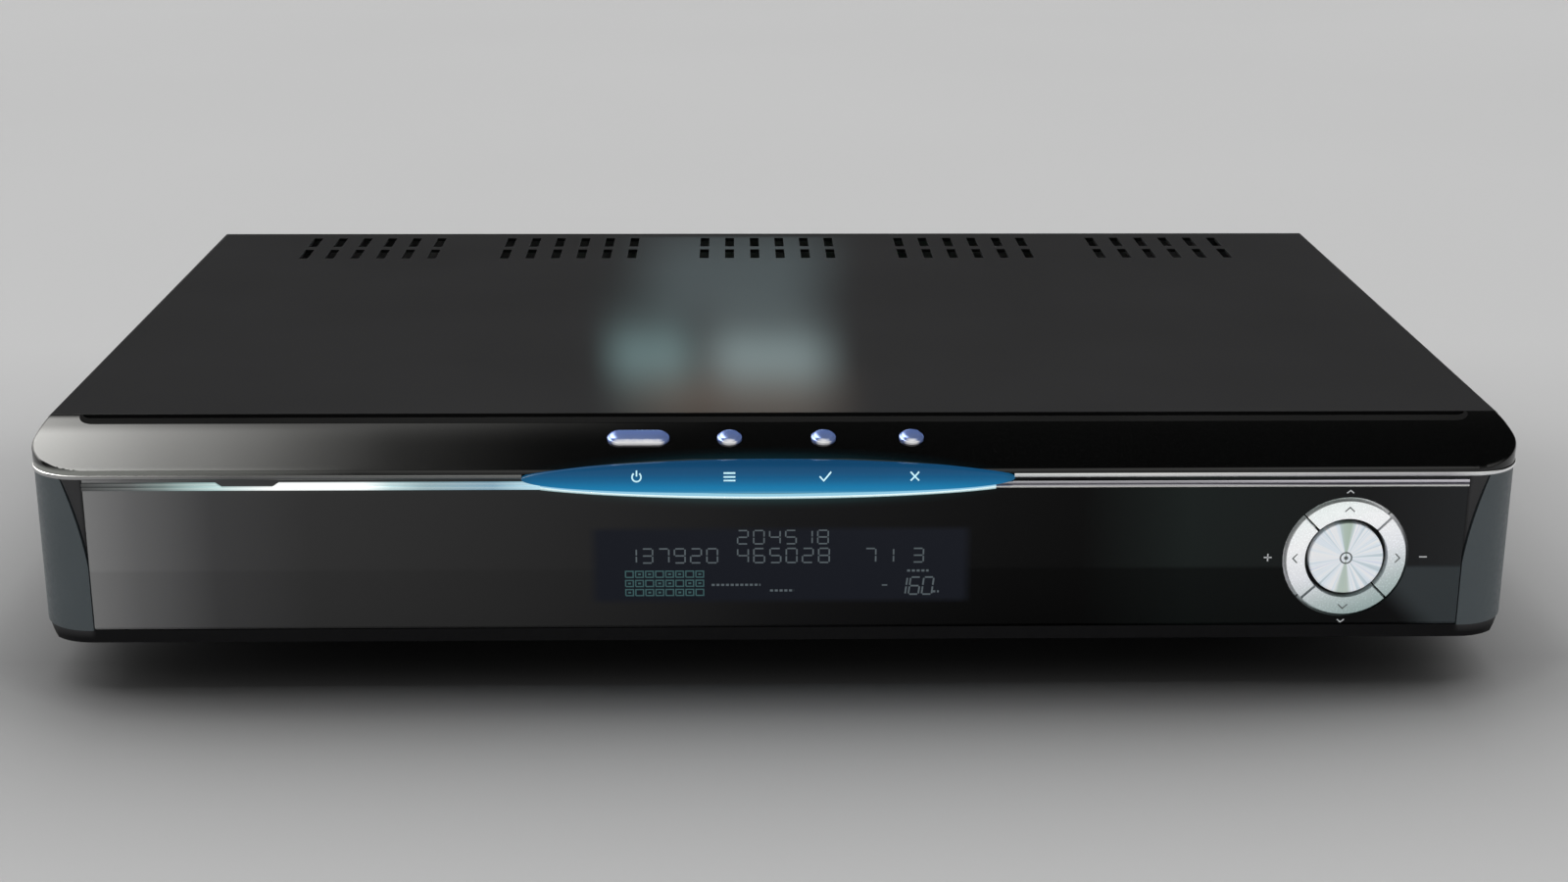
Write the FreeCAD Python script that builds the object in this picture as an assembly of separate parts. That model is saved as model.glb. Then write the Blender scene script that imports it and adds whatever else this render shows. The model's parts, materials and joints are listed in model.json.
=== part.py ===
import FreeCAD, Part
import math
import os

os.makedirs("parts", exist_ok=True)
Vec = FreeCAD.Vector

# ======================================================================= driving dimensions, mm
# casing
width = 360.0                # over the trim bead and the cover
cover_depth = 208.5          # top cover, front edge to rear edge
body_height = 50.0           # underside of the base to the top of the cover
foot_height = 12.0
sheet = 1.0                  # steel sheet of cover, base and rear panel
sheet_bend = 1.5             # outside radius of a folded edge
sheet_fit = 0.1              # gap between two sheets that slide into each other
seam = 0.3                   # gap between neighbouring mouldings
rear_fold = 9.0              # cover folds down this far over the rear panel
cover_skirt = 1.5            # side of the cover stops this far above the base

# vents in the top cover
vent_groups = 5
vent_columns = 6
vent_group_pitch = 63.6
vent_pitch = 8.1
vent_width = 2.8
vent_long = 12.6
vent_gap = 4.3               # between the two rows
vent_margin = 8.0            # rear row to the cover's rear edge
side_vents = 8
side_vent_pitch = 8.0
side_vent_height = 14.0
base_vents = 6               # in each of two groups under the main board
base_vent_pitch = 12.0
base_vent_long = 34.0
wall_windows = [(-160.0, -60.0), (-30.0, 70.0), (100.0, 150.0)]    # in the tray's front wall

# lip: the crowned visor in front of the cover
lip_reach = 27.0
lip_drop = 6.0               # the crown falls this far to its front edge
lip_depth = 7.0              # top of the cover to the lip's lower edge
lip_wall = 2.2
lip_edge = 1.2               # rounding of the lip's rim
corner_radius = 14.0         # in plan
bead_height = 1.2
bead_width = 2.8
bead_proud = 0.3
groove_run = 3.4
groove_sink = 1.4
groove_half = 171.0

# front
panel_half = 165.3           # half width of the fascia panel
fascia_set_back = 1.0        # fascia face behind the lip's front edge
fascia_thick = 2.0
frame_wall = 2.5
rail_height = 3.2            # dark base rail under the fascia
column_wall = 2.5
column_radius = 13.5
facet_width = 5.6            # dark facet beside the panel, at its top
facet_length = 22.5
facet_sink = 0.8             # its face lies this far behind the column's
facet_seat = 0.2             # gap between the frame and the column's inner face
foot_chamfer_side = 4.2      # bottom outer corners, across
foot_chamfer_up = 4.6        # and upwards
strip_height = 2.0           # double-ribbed trim strip
strip_drop = 2.1             # lip's lower edge to the strip's top
strip_proud = 0.7
strip_tuck = 4.3             # strips run this far past the lens's tips
notch_start = 31.3           # notch in the left strip, from the panel's edge
notch_end = 46.6
notch_slope = 1.6            # its ends slope in by this

# lens over the middle of the lip
lens_centre = -2.7
lens_half = 58.6
lens_top_run = 3.6           # its upper arc rises this far back from the lip's front edge
lens_tip_drop = 7.9          # tips below the top of the cover
lens_low_drop = 12.5         # middle of the lower arc below the top of the cover
lens_proud = 1.5             # in front of the lip's front edge
lens_over = 0.25             # its upper edge stands this far over the crown
lens_fit = 0.08
lens_trim_width = 1.0        # at the middle
lens_trim_past = 7.7         # its outer oval reaches this far past the lens's tips
lens_trim_proud = 1.5

# keys in the lip
key_row_back = 15.3          # key row in front of the cover's front edge
key_diameter = 6.0
power_length = 15.0
power_width = 5.8
key_proud = 1.5
key_gap = 0.25               # round a key in its opening
key_flange = 1.0             # the flange is wider than the key by this, each side
key_flange_thick = 0.8
key_side = 0.5               # height of a key's upright side over the lip
key_stem = 1.1               # half side of the square stem
key_bands = (1.0, 0.75, 0.4) # a round key's dome bends at these shares of its radius
key_travel = 0.8
stop_gap = 0.15              # left between stem and switch at full travel
power_x = -34.0
round_key_x = {"menu_key": -12.0, "select_key": 10.7, "exit_key": 32.0}

# four-way pad
nav_x = 137.0
nav_drop = 29.1              # centre below the top of the cover
nav_outer = 14.5             # radius over the arc keys
nav_centre_radius = 9.0
nav_proud = 1.4
nav_split = 0.5              # between two arc keys
nav_margin = 0.8             # the hole in the fascia is larger than the arc keys by this
nav_lip = 0.9                # their flange reaches behind the fascia by this
nav_wall = 0.45              # ring between centre key and arc keys, its thickness
nav_wall_high = 3.7          # and its height over the floor
nav_floor = 1.2              # thickness of the floor behind the keys
nav_stem = 1.7               # half side of the centre key's stem
nav_snap = 2.4               # half side of its snap collar
arc_stem = 1.5               # half side of an arc key's stem

# display
display_x = 0.5
display_drop = 31.1
window_wide = 96.0
window_high = 22.0
tube_side = 6.0              # the tube is wider than the window by this, each side
tube_over = 2.0              # and higher
tube_thick = 6.0
tube_ledge = 1.8             # lead ledge under the tube
holder_thick = 3.0

# remote-control eye
ir_x = 78.0

# boards
board_thick = 1.6
standoff_height = 6.0
switch_size = 6.0
switch_height = 3.1
plunger_half = 1.6           # half side of the square plunger
plunger_height = 0.7
key_board_drop = 9.5         # upper face of the key board under the lip's surface
key_board_deep = 14.0

# rear
f_length = 11.0
f_radius = 4.76
f_bore = 0.9
tuner_high = 14.0
phono_radius = 4.15
phono_bore = 1.6
phono_reach = 9.0
socket_out = 0.6             # sockets stand this far out of the panel
socket_gap = 0.2             # round a socket in its cut-out
optical_wide = 9.4
optical_high = 9.4
hdmi_wide = 15.0
hdmi_high = 6.0
network_wide = 16.0
network_high = 13.4
usb_wide = 13.1
usb_high = 6.2
serial_half = 9.0            # over the shell of the data socket
switch_wide = 19.0
switch_high = 12.8
inlet_wide = 27.4
inlet_high = 19.8
inlet_deep = 22.0            # behind the panel's face
inlet_floor = 3.5            # thickness behind its recess
inlet_flange = 3.0
inlet_ear = 20.0             # mounting screw from the middle of the inlet

# screws
screw_shank = 1.5            # over the corners of the thread's core
screw_hole = 1.6
screw_head = 3.0
screw_head_high = 1.6
screw_head_sides = 10
board_shank = 1.1
board_hole = 1.25
board_head = 2.4
board_head_high = 1.5

# feet
foot_radius = 15.0
foot_peg = 3.0               # half side of the square peg that snaps into the base
foot_peg_long = 4.0
foot_inset_x = 36.0
foot_inset_front = 40.0
foot_inset_rear = 30.0
pad_thick = 2.0
pad_radius = 12.0

# ======================================================================= derived places
half = width / 2
total_depth = lens_proud + lip_reach + cover_depth - sheet + f_length
cover_front = -total_depth / 2 + lens_proud + lip_reach
cover_rear = cover_front + cover_depth
panel_face = cover_rear - sheet              # outer face of the rear panel
panel_back = panel_face - sheet              # its inner face
lip_front = cover_front - lip_reach
lip_back = cover_front - seam
lip_side = half - bead_proud
base_z = foot_height
top_z = base_z + body_height
lip_base = top_z - lip_depth
bead_base = lip_base - bead_height
fascia_face = lip_front + fascia_set_back
fascia_back = fascia_face + fascia_thick
frame_back = fascia_back + frame_wall
rail_top = base_z + rail_height
fascia_top = bead_base - 0.1
fascia_bottom = rail_top + 0.1
wall_front = cover_front + 0.5               # front wall of the base tray
wall_back = wall_front + sheet
floor_top = base_z + sheet
tray_side = half - sheet - sheet_fit
crown_radius = (lip_reach ** 2 + lip_drop ** 2) / (2 * lip_drop)
key_row_y = cover_front - key_row_back
key_tilt = math.degrees(math.asin(key_row_back / crown_radius))
nav_z = top_z - nav_drop
nav_wall_in = nav_centre_radius + seam
nav_wall_out = nav_wall_in + nav_wall
nav_inner = nav_wall_out + seam
nav_opening = nav_outer + nav_margin
nav_flange = nav_opening + nav_lip
nav_stem_radius = (nav_inner + nav_outer) / 2
display_z = top_z - display_drop
tube_wide = window_wide + 2 * tube_side
tube_high = window_high + 2 * tube_over
tube_front = frame_back + 0.1
tube_back = tube_front + tube_thick
board_front = tube_back + holder_thick       # front board, face towards the display
board_back = board_front + board_thick
main_z = floor_top + standoff_height         # underside of the main board
main_top = main_z + board_thick
switch_top = switch_height + plunger_height


# ======================================================================= shape helpers
def box(x0, x1, y0, y1, z0, z1):
    """A block between two corners."""
    return Part.makeBox(x1 - x0, y1 - y0, z1 - z0, Vec(x0, y0, z0))


def rod(radius, length, at, along):
    """A cylinder from a point along a direction."""
    return Part.makeCylinder(radius, length, at, along)


def core(radius, length, at, along, sides=6):
    """A many-sided core that stands for a threaded shank, a screw head or the hole for a thread."""
    turns = [2 * math.pi * i / sides for i in range(sides)]
    corners = [Vec(radius * math.cos(turn), radius * math.sin(turn), 0) for turn in turns]
    bar = prism(corners, Vec(0, 0, length))
    bar.Placement = FreeCAD.Placement(at, FreeCAD.Rotation(Vec(0, 0, 1), along))
    return bar


def outline(side, front, back, radius):
    """Plan outline of the front: straight sides and front joined by two corner arcs."""
    bow = radius * (1 - math.sqrt(0.5))
    a = Vec(-side, back, 0)
    b = Vec(-side, front + radius, 0)
    c = Vec(-side + radius, front, 0)
    d = Vec(side - radius, front, 0)
    e = Vec(side, front + radius, 0)
    f = Vec(side, back, 0)
    left = Part.Arc(b, Vec(-side + bow, front + bow, 0), c)
    right = Part.Arc(d, Vec(side - bow, front + bow, 0), e)
    edges = [Part.LineSegment(a, b), left, Part.LineSegment(c, d), right,
             Part.LineSegment(e, f), Part.LineSegment(f, a)]
    return Part.Face(Part.Wire([edge.toShape() for edge in edges]))


def plan_slab(side, front, back, radius, low, high):
    """The plan outline as a slab between two heights."""
    slab = outline(side, front, back, radius).extrude(Vec(0, 0, high - low))
    slab.translate(Vec(0, 0, low))
    return slab


def prism(points, along):
    """A straight-sided profile carried along a vector."""
    return Part.Face(Part.makePolygon(points + [points[0]])).extrude(along)


def slot_prism(length, breadth, depth):
    """A round-ended slot centred on the origin, long along X, from z 0 up."""
    r = breadth / 2
    s = length / 2 - r
    top = Part.LineSegment(Vec(-s, r, 0), Vec(s, r, 0))
    right = Part.Arc(Vec(s, r, 0), Vec(s + r, 0, 0), Vec(s, -r, 0))
    low = Part.LineSegment(Vec(s, -r, 0), Vec(-s, -r, 0))
    left = Part.Arc(Vec(-s, -r, 0), Vec(-s - r, 0, 0), Vec(-s, r, 0))
    wire = Part.Wire([edge.toShape() for edge in (top, right, low, left)])
    return Part.Face(wire).extrude(Vec(0, 0, depth))


def turned(points):
    """A profile of radius and height points, revolved about Z."""
    profile = [Vec(r, 0, z) for r, z in points]
    face = Part.Face(Part.makePolygon(profile + [profile[0]]))
    return face.revolve(Vec(0, 0, 0), Vec(0, 0, 1), 360)


def placed(shape, frame):
    """A copy of a shape carried into another frame."""
    moved = shape.copy()
    moved.Placement = frame.multiply(shape.Placement)
    return moved


def moved(shape, x, y, z):
    """A copy of a shape shifted by a vector."""
    copy = shape.copy()
    copy.translate(Vec(x, y, z))
    return copy


def mirrored(shape):
    """The same shape on the other side of the middle plane."""
    return shape.mirror(Vec(0, 0, 0), Vec(1, 0, 0))


def join(shapes):
    """One solid out of several that share faces or overlap."""
    first = shapes[0]
    return first.fuse(shapes[1:]).removeSplitter()


def edges_where(shape, test):
    """Edges whose middle point passes a test."""
    found = []
    for edge in shape.Edges:
        middle = edge.valueAt((edge.FirstParameter + edge.LastParameter) / 2)
        if test(middle, edge):
            found.append(edge)
    return found


def pan_screw(shank, length, head_radius):
    """A flat-head screw, head up, its seat at z 0."""
    head = core(head_radius, screw_head_high, Vec(0, 0, 0), Vec(0, 0, 1), screw_head_sides)
    return head.fuse(core(shank, length, Vec(0, 0, -length), Vec(0, 0, 1)))


def board_screw(shank, length, head_radius):
    """A small hexagon-head screw for the boards, head up, its seat at z 0."""
    head = core(head_radius, board_head_high, Vec(0, 0, 0), Vec(0, 0, 1))
    return head.fuse(core(shank, length, Vec(0, 0, -length), Vec(0, 0, 1)))


def crown_at(back):
    """Height of the lip's crown at a distance in front of the cover's front edge."""
    return top_z - crown_radius + math.sqrt(crown_radius ** 2 - back ** 2)


lip_frame = FreeCAD.Placement(Vec(0, key_row_y, crown_at(key_row_back)),
                              FreeCAD.Rotation(Vec(1, 0, 0), key_tilt))
nav_frame = FreeCAD.Placement(Vec(nav_x, fascia_face, nav_z), FreeCAD.Rotation(Vec(1, 0, 0), 90))
rear_frame_turn = FreeCAD.Rotation(Vec(1, 0, 0), -90)


def on_rear(x, z):
    """Frame on the outer face of the rear panel, its Z pointing out of the back."""
    return FreeCAD.Placement(Vec(x, panel_face, z), rear_frame_turn)


# ======================================================================= places of what repeats
vent_row_far = cover_rear - vent_margin - vent_long / 2
vent_rows = [vent_row_far, vent_row_far - vent_long - vent_gap]
foot_spots = [(sx * (half - foot_inset_x), y) for sx in (-1, 1)
              for y in (cover_front + foot_inset_front, cover_rear - foot_inset_rear)]

main_left = -tray_side + sheet + 3.0
main_right = 84.0
main_front = cover_front + 70.0
main_rear = panel_back - 1.5
power_left = 92.0
power_right = tray_side - sheet - 3.0
power_front = cover_front + 88.0
power_rear = panel_back - 30.0
board_hole_inset = 5.0
main_spots = [(x, y) for x in (main_left + board_hole_inset, -40.0, main_right - board_hole_inset)
              for y in (main_front + board_hole_inset, main_rear - 72.0)]
power_spots = [(x, y) for x in (power_left + board_hole_inset, power_right - board_hole_inset)
               for y in (power_front + board_hole_inset, power_rear - board_hole_inset)]

# rear connectors: centre in X, and height where it isn't set by the board
tuner_x = {"tuner_left": -149.0, "tuner_right": -101.0}
tuner_wide = 42.0
tuner_long = 62.0
f_offset = 11.0
f_spots = [x + side * f_offset for x in tuner_x.values() for side in (-1, 1)]
f_z = main_top + tuner_high / 2
optical_x = -68.0
phono_pitch_x = 12.4
phono_pitch_z = 13.6
phono_columns = 3
phono_x = -40.0
phono_low_z = main_top + 6.6
phono_top = phono_low_z + phono_pitch_z + 6.6
hdmi_x = -8.0
network_x = 14.0
usb_x = 36.0
serial_x = 62.0
switch_x = 111.0
inlet_x = 148.0
mains_z = base_z + 24.0
rear_screw_x = [-150.0, -8.0, 150.0]
rear_screw_z = top_z - rear_fold + 3.8
low_screw_x = [-120.0, 86.0]
low_screw_z = base_z + 3.6
side_screw_y = [cover_front + 35.0, cover_rear - 35.0]
side_screw_z = base_z + 8.0
front_board_left = -64.0
front_board_right = 158.0
front_board_low = rail_top + 2.0
front_board_high = top_z - 15.0
front_spots = [(x, z) for x in (front_board_left + 5, 66.0, front_board_right - 5)
               for z in (front_board_low + 4, front_board_high - 4)]


# ======================================================================= lens and lip
def long_oval(long, up, down, depth):
    """Oval in the upright plane, of two half ellipses that meet at level tips, carried along Y;
    its tip line is z 0."""
    a = Vec(-long, 0, 0)
    b = Vec(long, 0, 0)
    halves = []
    for start, rise, end in ((b, Vec(0, 0, up), a), (a, Vec(0, 0, -down), b)):
        whole = Part.Ellipse(start, rise, Vec(0, 0, 0))
        halves.append(Part.ArcOfEllipse(whole, 0, math.pi).toShape())
    return Part.Face(Part.Wire(halves)).extrude(Vec(0, depth, 0))


def lens_form(grow=0.0):
    """The lens: a rolled front from the lip's crown over to the fascia, cut to a long oval."""
    back = lip_reach - lens_top_run
    upper = Vec(0, cover_front - back + grow, crown_at(back) + lens_over + grow)
    nose = Vec(0, lip_front - lens_proud - grow, top_z - lens_tip_drop)
    lower = Vec(0, fascia_face + grow, top_z - lens_low_drop - grow)
    wire = Part.Wire([Part.Arc(upper, nose, lower).toShape(), Part.LineSegment(lower, upper).toShape()])
    roll = Part.Face(wire).extrude(Vec(2 * (lens_half + 5), 0, 0))
    roll.translate(Vec(lens_centre - lens_half - 5, 0, 0))
    tip_z = top_z - lens_tip_drop
    trim = 0.15
    oval = long_oval(lens_half + grow, upper.z - tip_z - trim, tip_z - lower.z - trim, 20)
    oval.translate(Vec(lens_centre, lip_front - 10, tip_z))
    return roll.common(oval)


lens_space = lens_form(lens_fit)


def lens():
    return lens_form()


def lens_trim():
    """Bright crescent that follows the lens's lower edge on the fascia, from strip to strip."""
    low = lens_low_drop - lens_tip_drop + lens_trim_width
    oval = long_oval(lens_half + lens_trim_past, low / 2, low, lens_trim_proud)
    oval.translate(Vec(lens_centre, fascia_face - lens_trim_proud, top_z - lens_tip_drop))
    reach = lens_half - strip_tuck - lens_fit
    between = box(lens_centre - reach, lens_centre + reach, fascia_face - 5, fascia_face,
                  base_z, lip_base - strip_drop)
    return oval.common(between).cut(lens_space)


def crown_roll(radius):
    """The roll whose top is the lip's crown, or a face parallel to it."""
    return rod(radius, width + 20, Vec(-half - 10, cover_front, top_z - crown_radius), Vec(1, 0, 0))


def lip_key_space():
    """Openings in the lip for the power key and the round keys."""
    depth = lip_wall * 3
    power = slot_prism(power_length + 2 * key_gap, power_width + 2 * key_gap, depth)
    spaces = [placed(moved(power, power_x, 0, -depth / 2), lip_frame)]
    for x in round_key_x.values():
        hole = rod(key_diameter / 2 + key_gap, depth, Vec(x, 0, -depth / 2), Vec(0, 0, 1))
        spaces.append(placed(hole, lip_frame))
    return Part.makeCompound(spaces)


boss_x = [-50.5, 46.5]


def top_lip():
    shell = plan_slab(lip_side, lip_front, lip_back, corner_radius, lip_base, top_z)
    shell = shell.common(crown_roll(crown_radius))

    def on_rim(middle, edge):
        drop = crown_radius - Vec(0, middle.y - cover_front, middle.z - top_z + crown_radius).Length
        return abs(drop) < 0.01 and middle.y < lip_back - 0.1 and abs(middle.x) < lip_side + 0.1
    shell = shell.makeFillet(lip_edge, edges_where(shell, on_rim))
    hollow = plan_slab(lip_side - lip_wall, lip_front + lip_wall, lip_back - groove_run - lip_wall,
                       corner_radius - lip_wall, lip_base - 1, top_z)
    hollow = hollow.common(crown_roll(crown_radius - lip_wall))
    shell = shell.cut(hollow)
    channel = box(-lip_side + 6, lip_side - 6, lip_back - groove_run, lip_back - lip_wall,
                  lip_base - 1, top_z - groove_sink - lip_wall)
    shell = shell.cut(channel)
    groove = slot_prism(2 * groove_half, 2 * groove_run, 10)
    shell = shell.cut(moved(groove, 0, lip_back, top_z - groove_sink))
    for x in boss_x:
        boss = rod(2.6, key_board_drop - 1.0, Vec(x, 0, -key_board_drop), Vec(0, 0, 1))
        shell = shell.fuse(placed(boss, lip_frame))
        pilot = core(board_hole, 6.0, Vec(x, 0, -key_board_drop), Vec(0, 0, 1))
        shell = shell.cut(placed(pilot, lip_frame))
    shell = shell.cut(lip_key_space())
    return shell.cut(lens_space)


def lip_trim():
    """Bright bead under the lip, broken by the lens."""
    side = lip_side + bead_proud
    ring = plan_slab(side, lip_front - bead_proud, lip_back, corner_radius + bead_proud,
                     bead_base, lip_base)

    def outer_rim(middle, edge):
        return middle.y < lip_back - 0.1 and abs(middle.z - (bead_base + bead_height / 2)) > 0.1
    ring = ring.makeChamfer(bead_height * 0.3, edges_where(ring, outer_rim))
    hole = plan_slab(side - bead_width, lip_front - bead_proud + bead_width, lip_back + 5,
                     corner_radius + bead_proud - bead_width, bead_base - 1, lip_base + 1)
    return ring.cut(hole).cut(lens_space)


# ======================================================================= front mouldings
def facet_prism(front, back):
    """Space beside the panel that tapers downwards inside a hollow arc."""
    inner = panel_half + seam
    high = bead_base + 1.0
    tip = bead_base - facet_length
    a = Vec(inner - 2.0, front, high)
    b = Vec(inner + facet_width, front, high)
    middle = Vec(inner + facet_width * 0.28, front, tip + (high - tip) * 0.42)
    c = Vec(inner, front, tip)
    d = Vec(inner - 2.0, front, tip)
    edges = [Part.LineSegment(a, b), Part.Arc(b, middle, c), Part.LineSegment(c, d), Part.LineSegment(d, a)]
    wire = Part.Wire([edge.toShape() for edge in edges])
    return Part.Face(wire).extrude(Vec(0, back - front, 0))


def chamfer_wedge():
    """What the sloping lower corner takes off, on the right-hand side."""
    x = lip_side
    points = [Vec(x + 1.0, lip_front - 5, base_z + foot_chamfer_up + 1.0 * foot_chamfer_up
                  / foot_chamfer_side),
              Vec(x - foot_chamfer_side - 1.0, lip_front - 5, base_z - 1.0 * foot_chamfer_up
                  / foot_chamfer_side),
              Vec(x + 1.0, lip_front - 5, base_z - 2.0)]
    return prism(points, Vec(0, 60, 0))


def corner_column():
    """Right-hand corner column: an open shell round the plan corner."""
    low = rail_top
    high = bead_base
    shell = plan_slab(lip_side, fascia_face, lip_back, column_radius, low, high)
    inner = plan_slab(lip_side - column_wall, fascia_face + column_wall, lip_back + 5,
                      column_radius - column_wall, low - 1, high + 1)
    shell = shell.cut(inner)
    keep = box(panel_half + seam, half + 5, fascia_face - 5, lip_back + 5, low - 1, high + 1)
    shell = shell.common(keep)
    shell = shell.cut(facet_prism(fascia_face - 1, fascia_face + column_wall + 1))
    return shell.cut(chamfer_wedge())


def column_facet():
    """Dark filler of that space, a little inside its edge and carried by the front frame."""
    front = fascia_face + facet_sink
    back = fascia_face + column_wall + facet_seat
    filler = moved(facet_prism(front, back), -0.2, 0, 0.4)
    keep = box(panel_half + seam / 2, half, front - 1, back + 1, rail_top, bead_base - 0.05)
    return filler.common(keep)


def nav_well():
    """Guide for the pad's keys: a floor behind them and a ring between centre key and arc keys."""
    floor_back = -(fascia_thick + frame_wall)
    floor = rod(nav_flange + 2.0, nav_floor, Vec(0, 0, floor_back - nav_floor), Vec(0, 0, 1))
    ring = rod(nav_wall_out, nav_floor + nav_wall_high, Vec(0, 0, floor_back - nav_floor), Vec(0, 0, 1))
    ring = ring.cut(rod(nav_wall_in, 6.0, Vec(0, 0, floor_back), Vec(0, 0, 1)))
    well = floor.fuse(ring)
    hole = nav_stem + seam
    well = well.cut(box(-hole, hole, -hole, hole, floor_back - 2, floor_back + 2))
    window = arc_stem + 2 * seam
    for turn in range(4):
        hole = box(nav_stem_radius - window, nav_stem_radius + window, -window, window,
                   floor_back - 2, floor_back + 2)
        hole.rotate(Vec(0, 0, 0), Vec(0, 0, 1), 90 * turn)
        well = well.cut(hole)
    return placed(well, nav_frame)


def front_frame():
    rail = plan_slab(lip_side - 0.4, fascia_face + 0.4, lip_back, corner_radius - 1.0,
                     base_z, rail_top)
    rail = rail.cut(chamfer_wedge()).cut(mirrored(chamfer_wedge()))
    inner = half - sheet - 4.0
    tongue = box(-inner, inner, lip_back - 1, wall_front, base_z, rail_top)
    plate = box(-panel_half, panel_half, fascia_back, frame_back, rail_top, bead_base)
    wing_front = fascia_face + column_wall + facet_seat
    wing_half = panel_half + seam + facet_width + 1.0
    cheek_wall = 2.0
    wings = box(-wing_half, wing_half, wing_front, frame_back, rail_top, bead_base)
    cheek = box(wing_half - cheek_wall, wing_half, frame_back - 1, wall_front, rail_top, bead_base)
    shelf = box(-wing_half, wing_half, frame_back - 1, wall_front, bead_base - cheek_wall, bead_base)
    key_bay = box(boss_x[0] - 6, boss_x[1] + 6, frame_back, cover_front - 4, bead_base - 3, bead_base + 1)
    shelf = shelf.cut(key_bay)
    inside = plan_slab(lip_side - column_wall - facet_seat, wing_front, wall_front + 1,
                       column_radius - column_wall - facet_seat, base_z, top_z)
    wings = wings.common(inside)
    cheek = cheek.common(inside)
    shelf = shelf.common(inside)
    frame = join([rail, tongue, plate, wings, cheek, mirrored(cheek), shelf, column_facet(),
                  mirrored(column_facet())])
    window = box(display_x - window_wide / 2, display_x + window_wide / 2, fascia_back - 1,
                 frame_back + 1, display_z - window_high / 2, display_z + window_high / 2)
    frame = frame.cut(window)
    bore = rod(nav_flange + 0.4, frame_wall + 2, Vec(nav_x, fascia_back - 1, nav_z), Vec(0, 1, 0))
    frame = frame.cut(bore)
    frame = frame.cut(rod(4.0, frame_wall + 2, Vec(ir_x, fascia_back - 1, display_z), Vec(0, 1, 0)))
    frame = frame.fuse(nav_well())
    for x, z in front_spots:
        post = box(x - 3, x + 3, frame_back, board_front, z - 3, z + 3)
        hole = core(board_hole, 6.0, Vec(x, board_front - 6.0, z), Vec(0, 1, 0))
        frame = frame.fuse(post).cut(hole)
    return frame.cut(lens_space)


def fascia_window():
    panel = box(-panel_half, panel_half, fascia_face, fascia_back, fascia_bottom, fascia_top)

    def lower_front(middle, edge):
        return abs(middle.z - fascia_bottom) < 0.01 and abs(middle.y - fascia_face) < 0.01
    panel = panel.makeChamfer(0.7, edges_where(panel, lower_front))
    hole = rod(nav_opening, fascia_thick + 2, Vec(nav_x, fascia_face - 1, nav_z), Vec(0, 1, 0))
    return panel.cut(hole).cut(lens_space)


def strip(x0, x1):
    """Double-ribbed bright strip: two half-round ribs with a valley between."""
    high = lip_base - strip_drop
    rib = strip_height / 2
    bow = strip_proud
    base = 0.25
    edges = []
    start = Vec(0, fascia_face, high)
    edges.append(Part.LineSegment(start, Vec(0, fascia_face - base, high)).toShape())
    for i in range(2):
        a = Vec(0, fascia_face - base, high - i * rib)
        b = Vec(0, fascia_face - base, high - (i + 1) * rib)
        middle = Vec(0, fascia_face - bow, high - (i + 0.5) * rib)
        edges.append(Part.Arc(a, middle, b).toShape())
    end = Vec(0, fascia_face, high - strip_height)
    edges.append(Part.LineSegment(Vec(0, fascia_face - base, high - strip_height), end).toShape())
    edges.append(Part.LineSegment(end, start).toShape())
    bar = Part.Face(Part.Wire(edges)).extrude(Vec(x1 - x0, 0, 0))
    bar.translate(Vec(x0, 0, 0))
    return bar


def trim_strip_left():
    """Left strip, up to the lens, with a shallow notch in its upper rib."""
    bar = strip(-panel_half, lens_centre - lens_half + strip_tuck)
    high = lip_base - strip_drop + 0.1
    low = high - strip_height * 0.55
    start = -panel_half + notch_start
    end = -panel_half + notch_end
    front = fascia_face - 2
    notch = prism([Vec(start, front, high), Vec(end, front, high), Vec(end - notch_slope, front, low),
                   Vec(start + notch_slope, front, low)], Vec(0, 4, 0))
    return bar.cut(notch).cut(lens_space)


def trim_strip_right():
    return strip(lens_centre + lens_half - strip_tuck, panel_half).cut(lens_space)


# ======================================================================= keys
def key_stem_end():
    """Depth of a lip key's stem end below the lip's surface, at rest."""
    return key_board_drop - switch_top - key_travel - stop_gap


def key_base(long, wide):
    """Flange under the lip and square stem of a lip key."""
    top_of_flange = -lip_wall - seam
    under = top_of_flange - key_flange_thick
    flange = box(-long / 2 - key_flange, long / 2 + key_flange, -wide / 2 - key_flange,
                 wide / 2 + key_flange, under, top_of_flange)
    return flange.fuse(box(-key_stem, key_stem, -key_stem, key_stem, -key_stem_end(), under))


def round_key():
    """Round key crowned in three turned bands, with flange and stem, in the lip's frame."""
    r = key_diameter / 2
    low = -lip_wall - seam
    dome_centre = (key_proud ** 2 - key_side ** 2 - r ** 2) / (2 * (key_proud - key_side))
    dome_radius = key_proud - dome_centre
    points = [(0, low), (r, low)]
    for share in key_bands:
        points.append((r * share, dome_centre + math.sqrt(dome_radius ** 2 - (r * share) ** 2)))
    return turned(points + [(0, key_proud)]).fuse(key_base(key_diameter, key_diameter))


def power_key():
    """Long round-ended key, crowned both ways by two rolls."""
    low = -lip_wall - seam
    cap = moved(slot_prism(power_length, power_width, key_proud - low), 0, 0, low)
    rise = key_proud - key_side
    for span, along in ((power_width, Vec(1, 0, 0)), (power_length, Vec(0, 1, 0))):
        radius = ((span / 2) ** 2 + rise ** 2) / (2 * rise)
        start = along * -power_length + Vec(0, 0, key_proud - radius)
        cap = cap.common(rod(radius, 2 * power_length, start, along))
    return placed(moved(cap.fuse(key_base(power_length, power_width)), power_x, 0, 0), lip_frame)


def nav_stem_end():
    """Depth of a pad key's stem end behind the fascia's face, at rest."""
    return board_front - fascia_face - switch_size * 0.5 - 2.0 - key_travel - stop_gap


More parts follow.
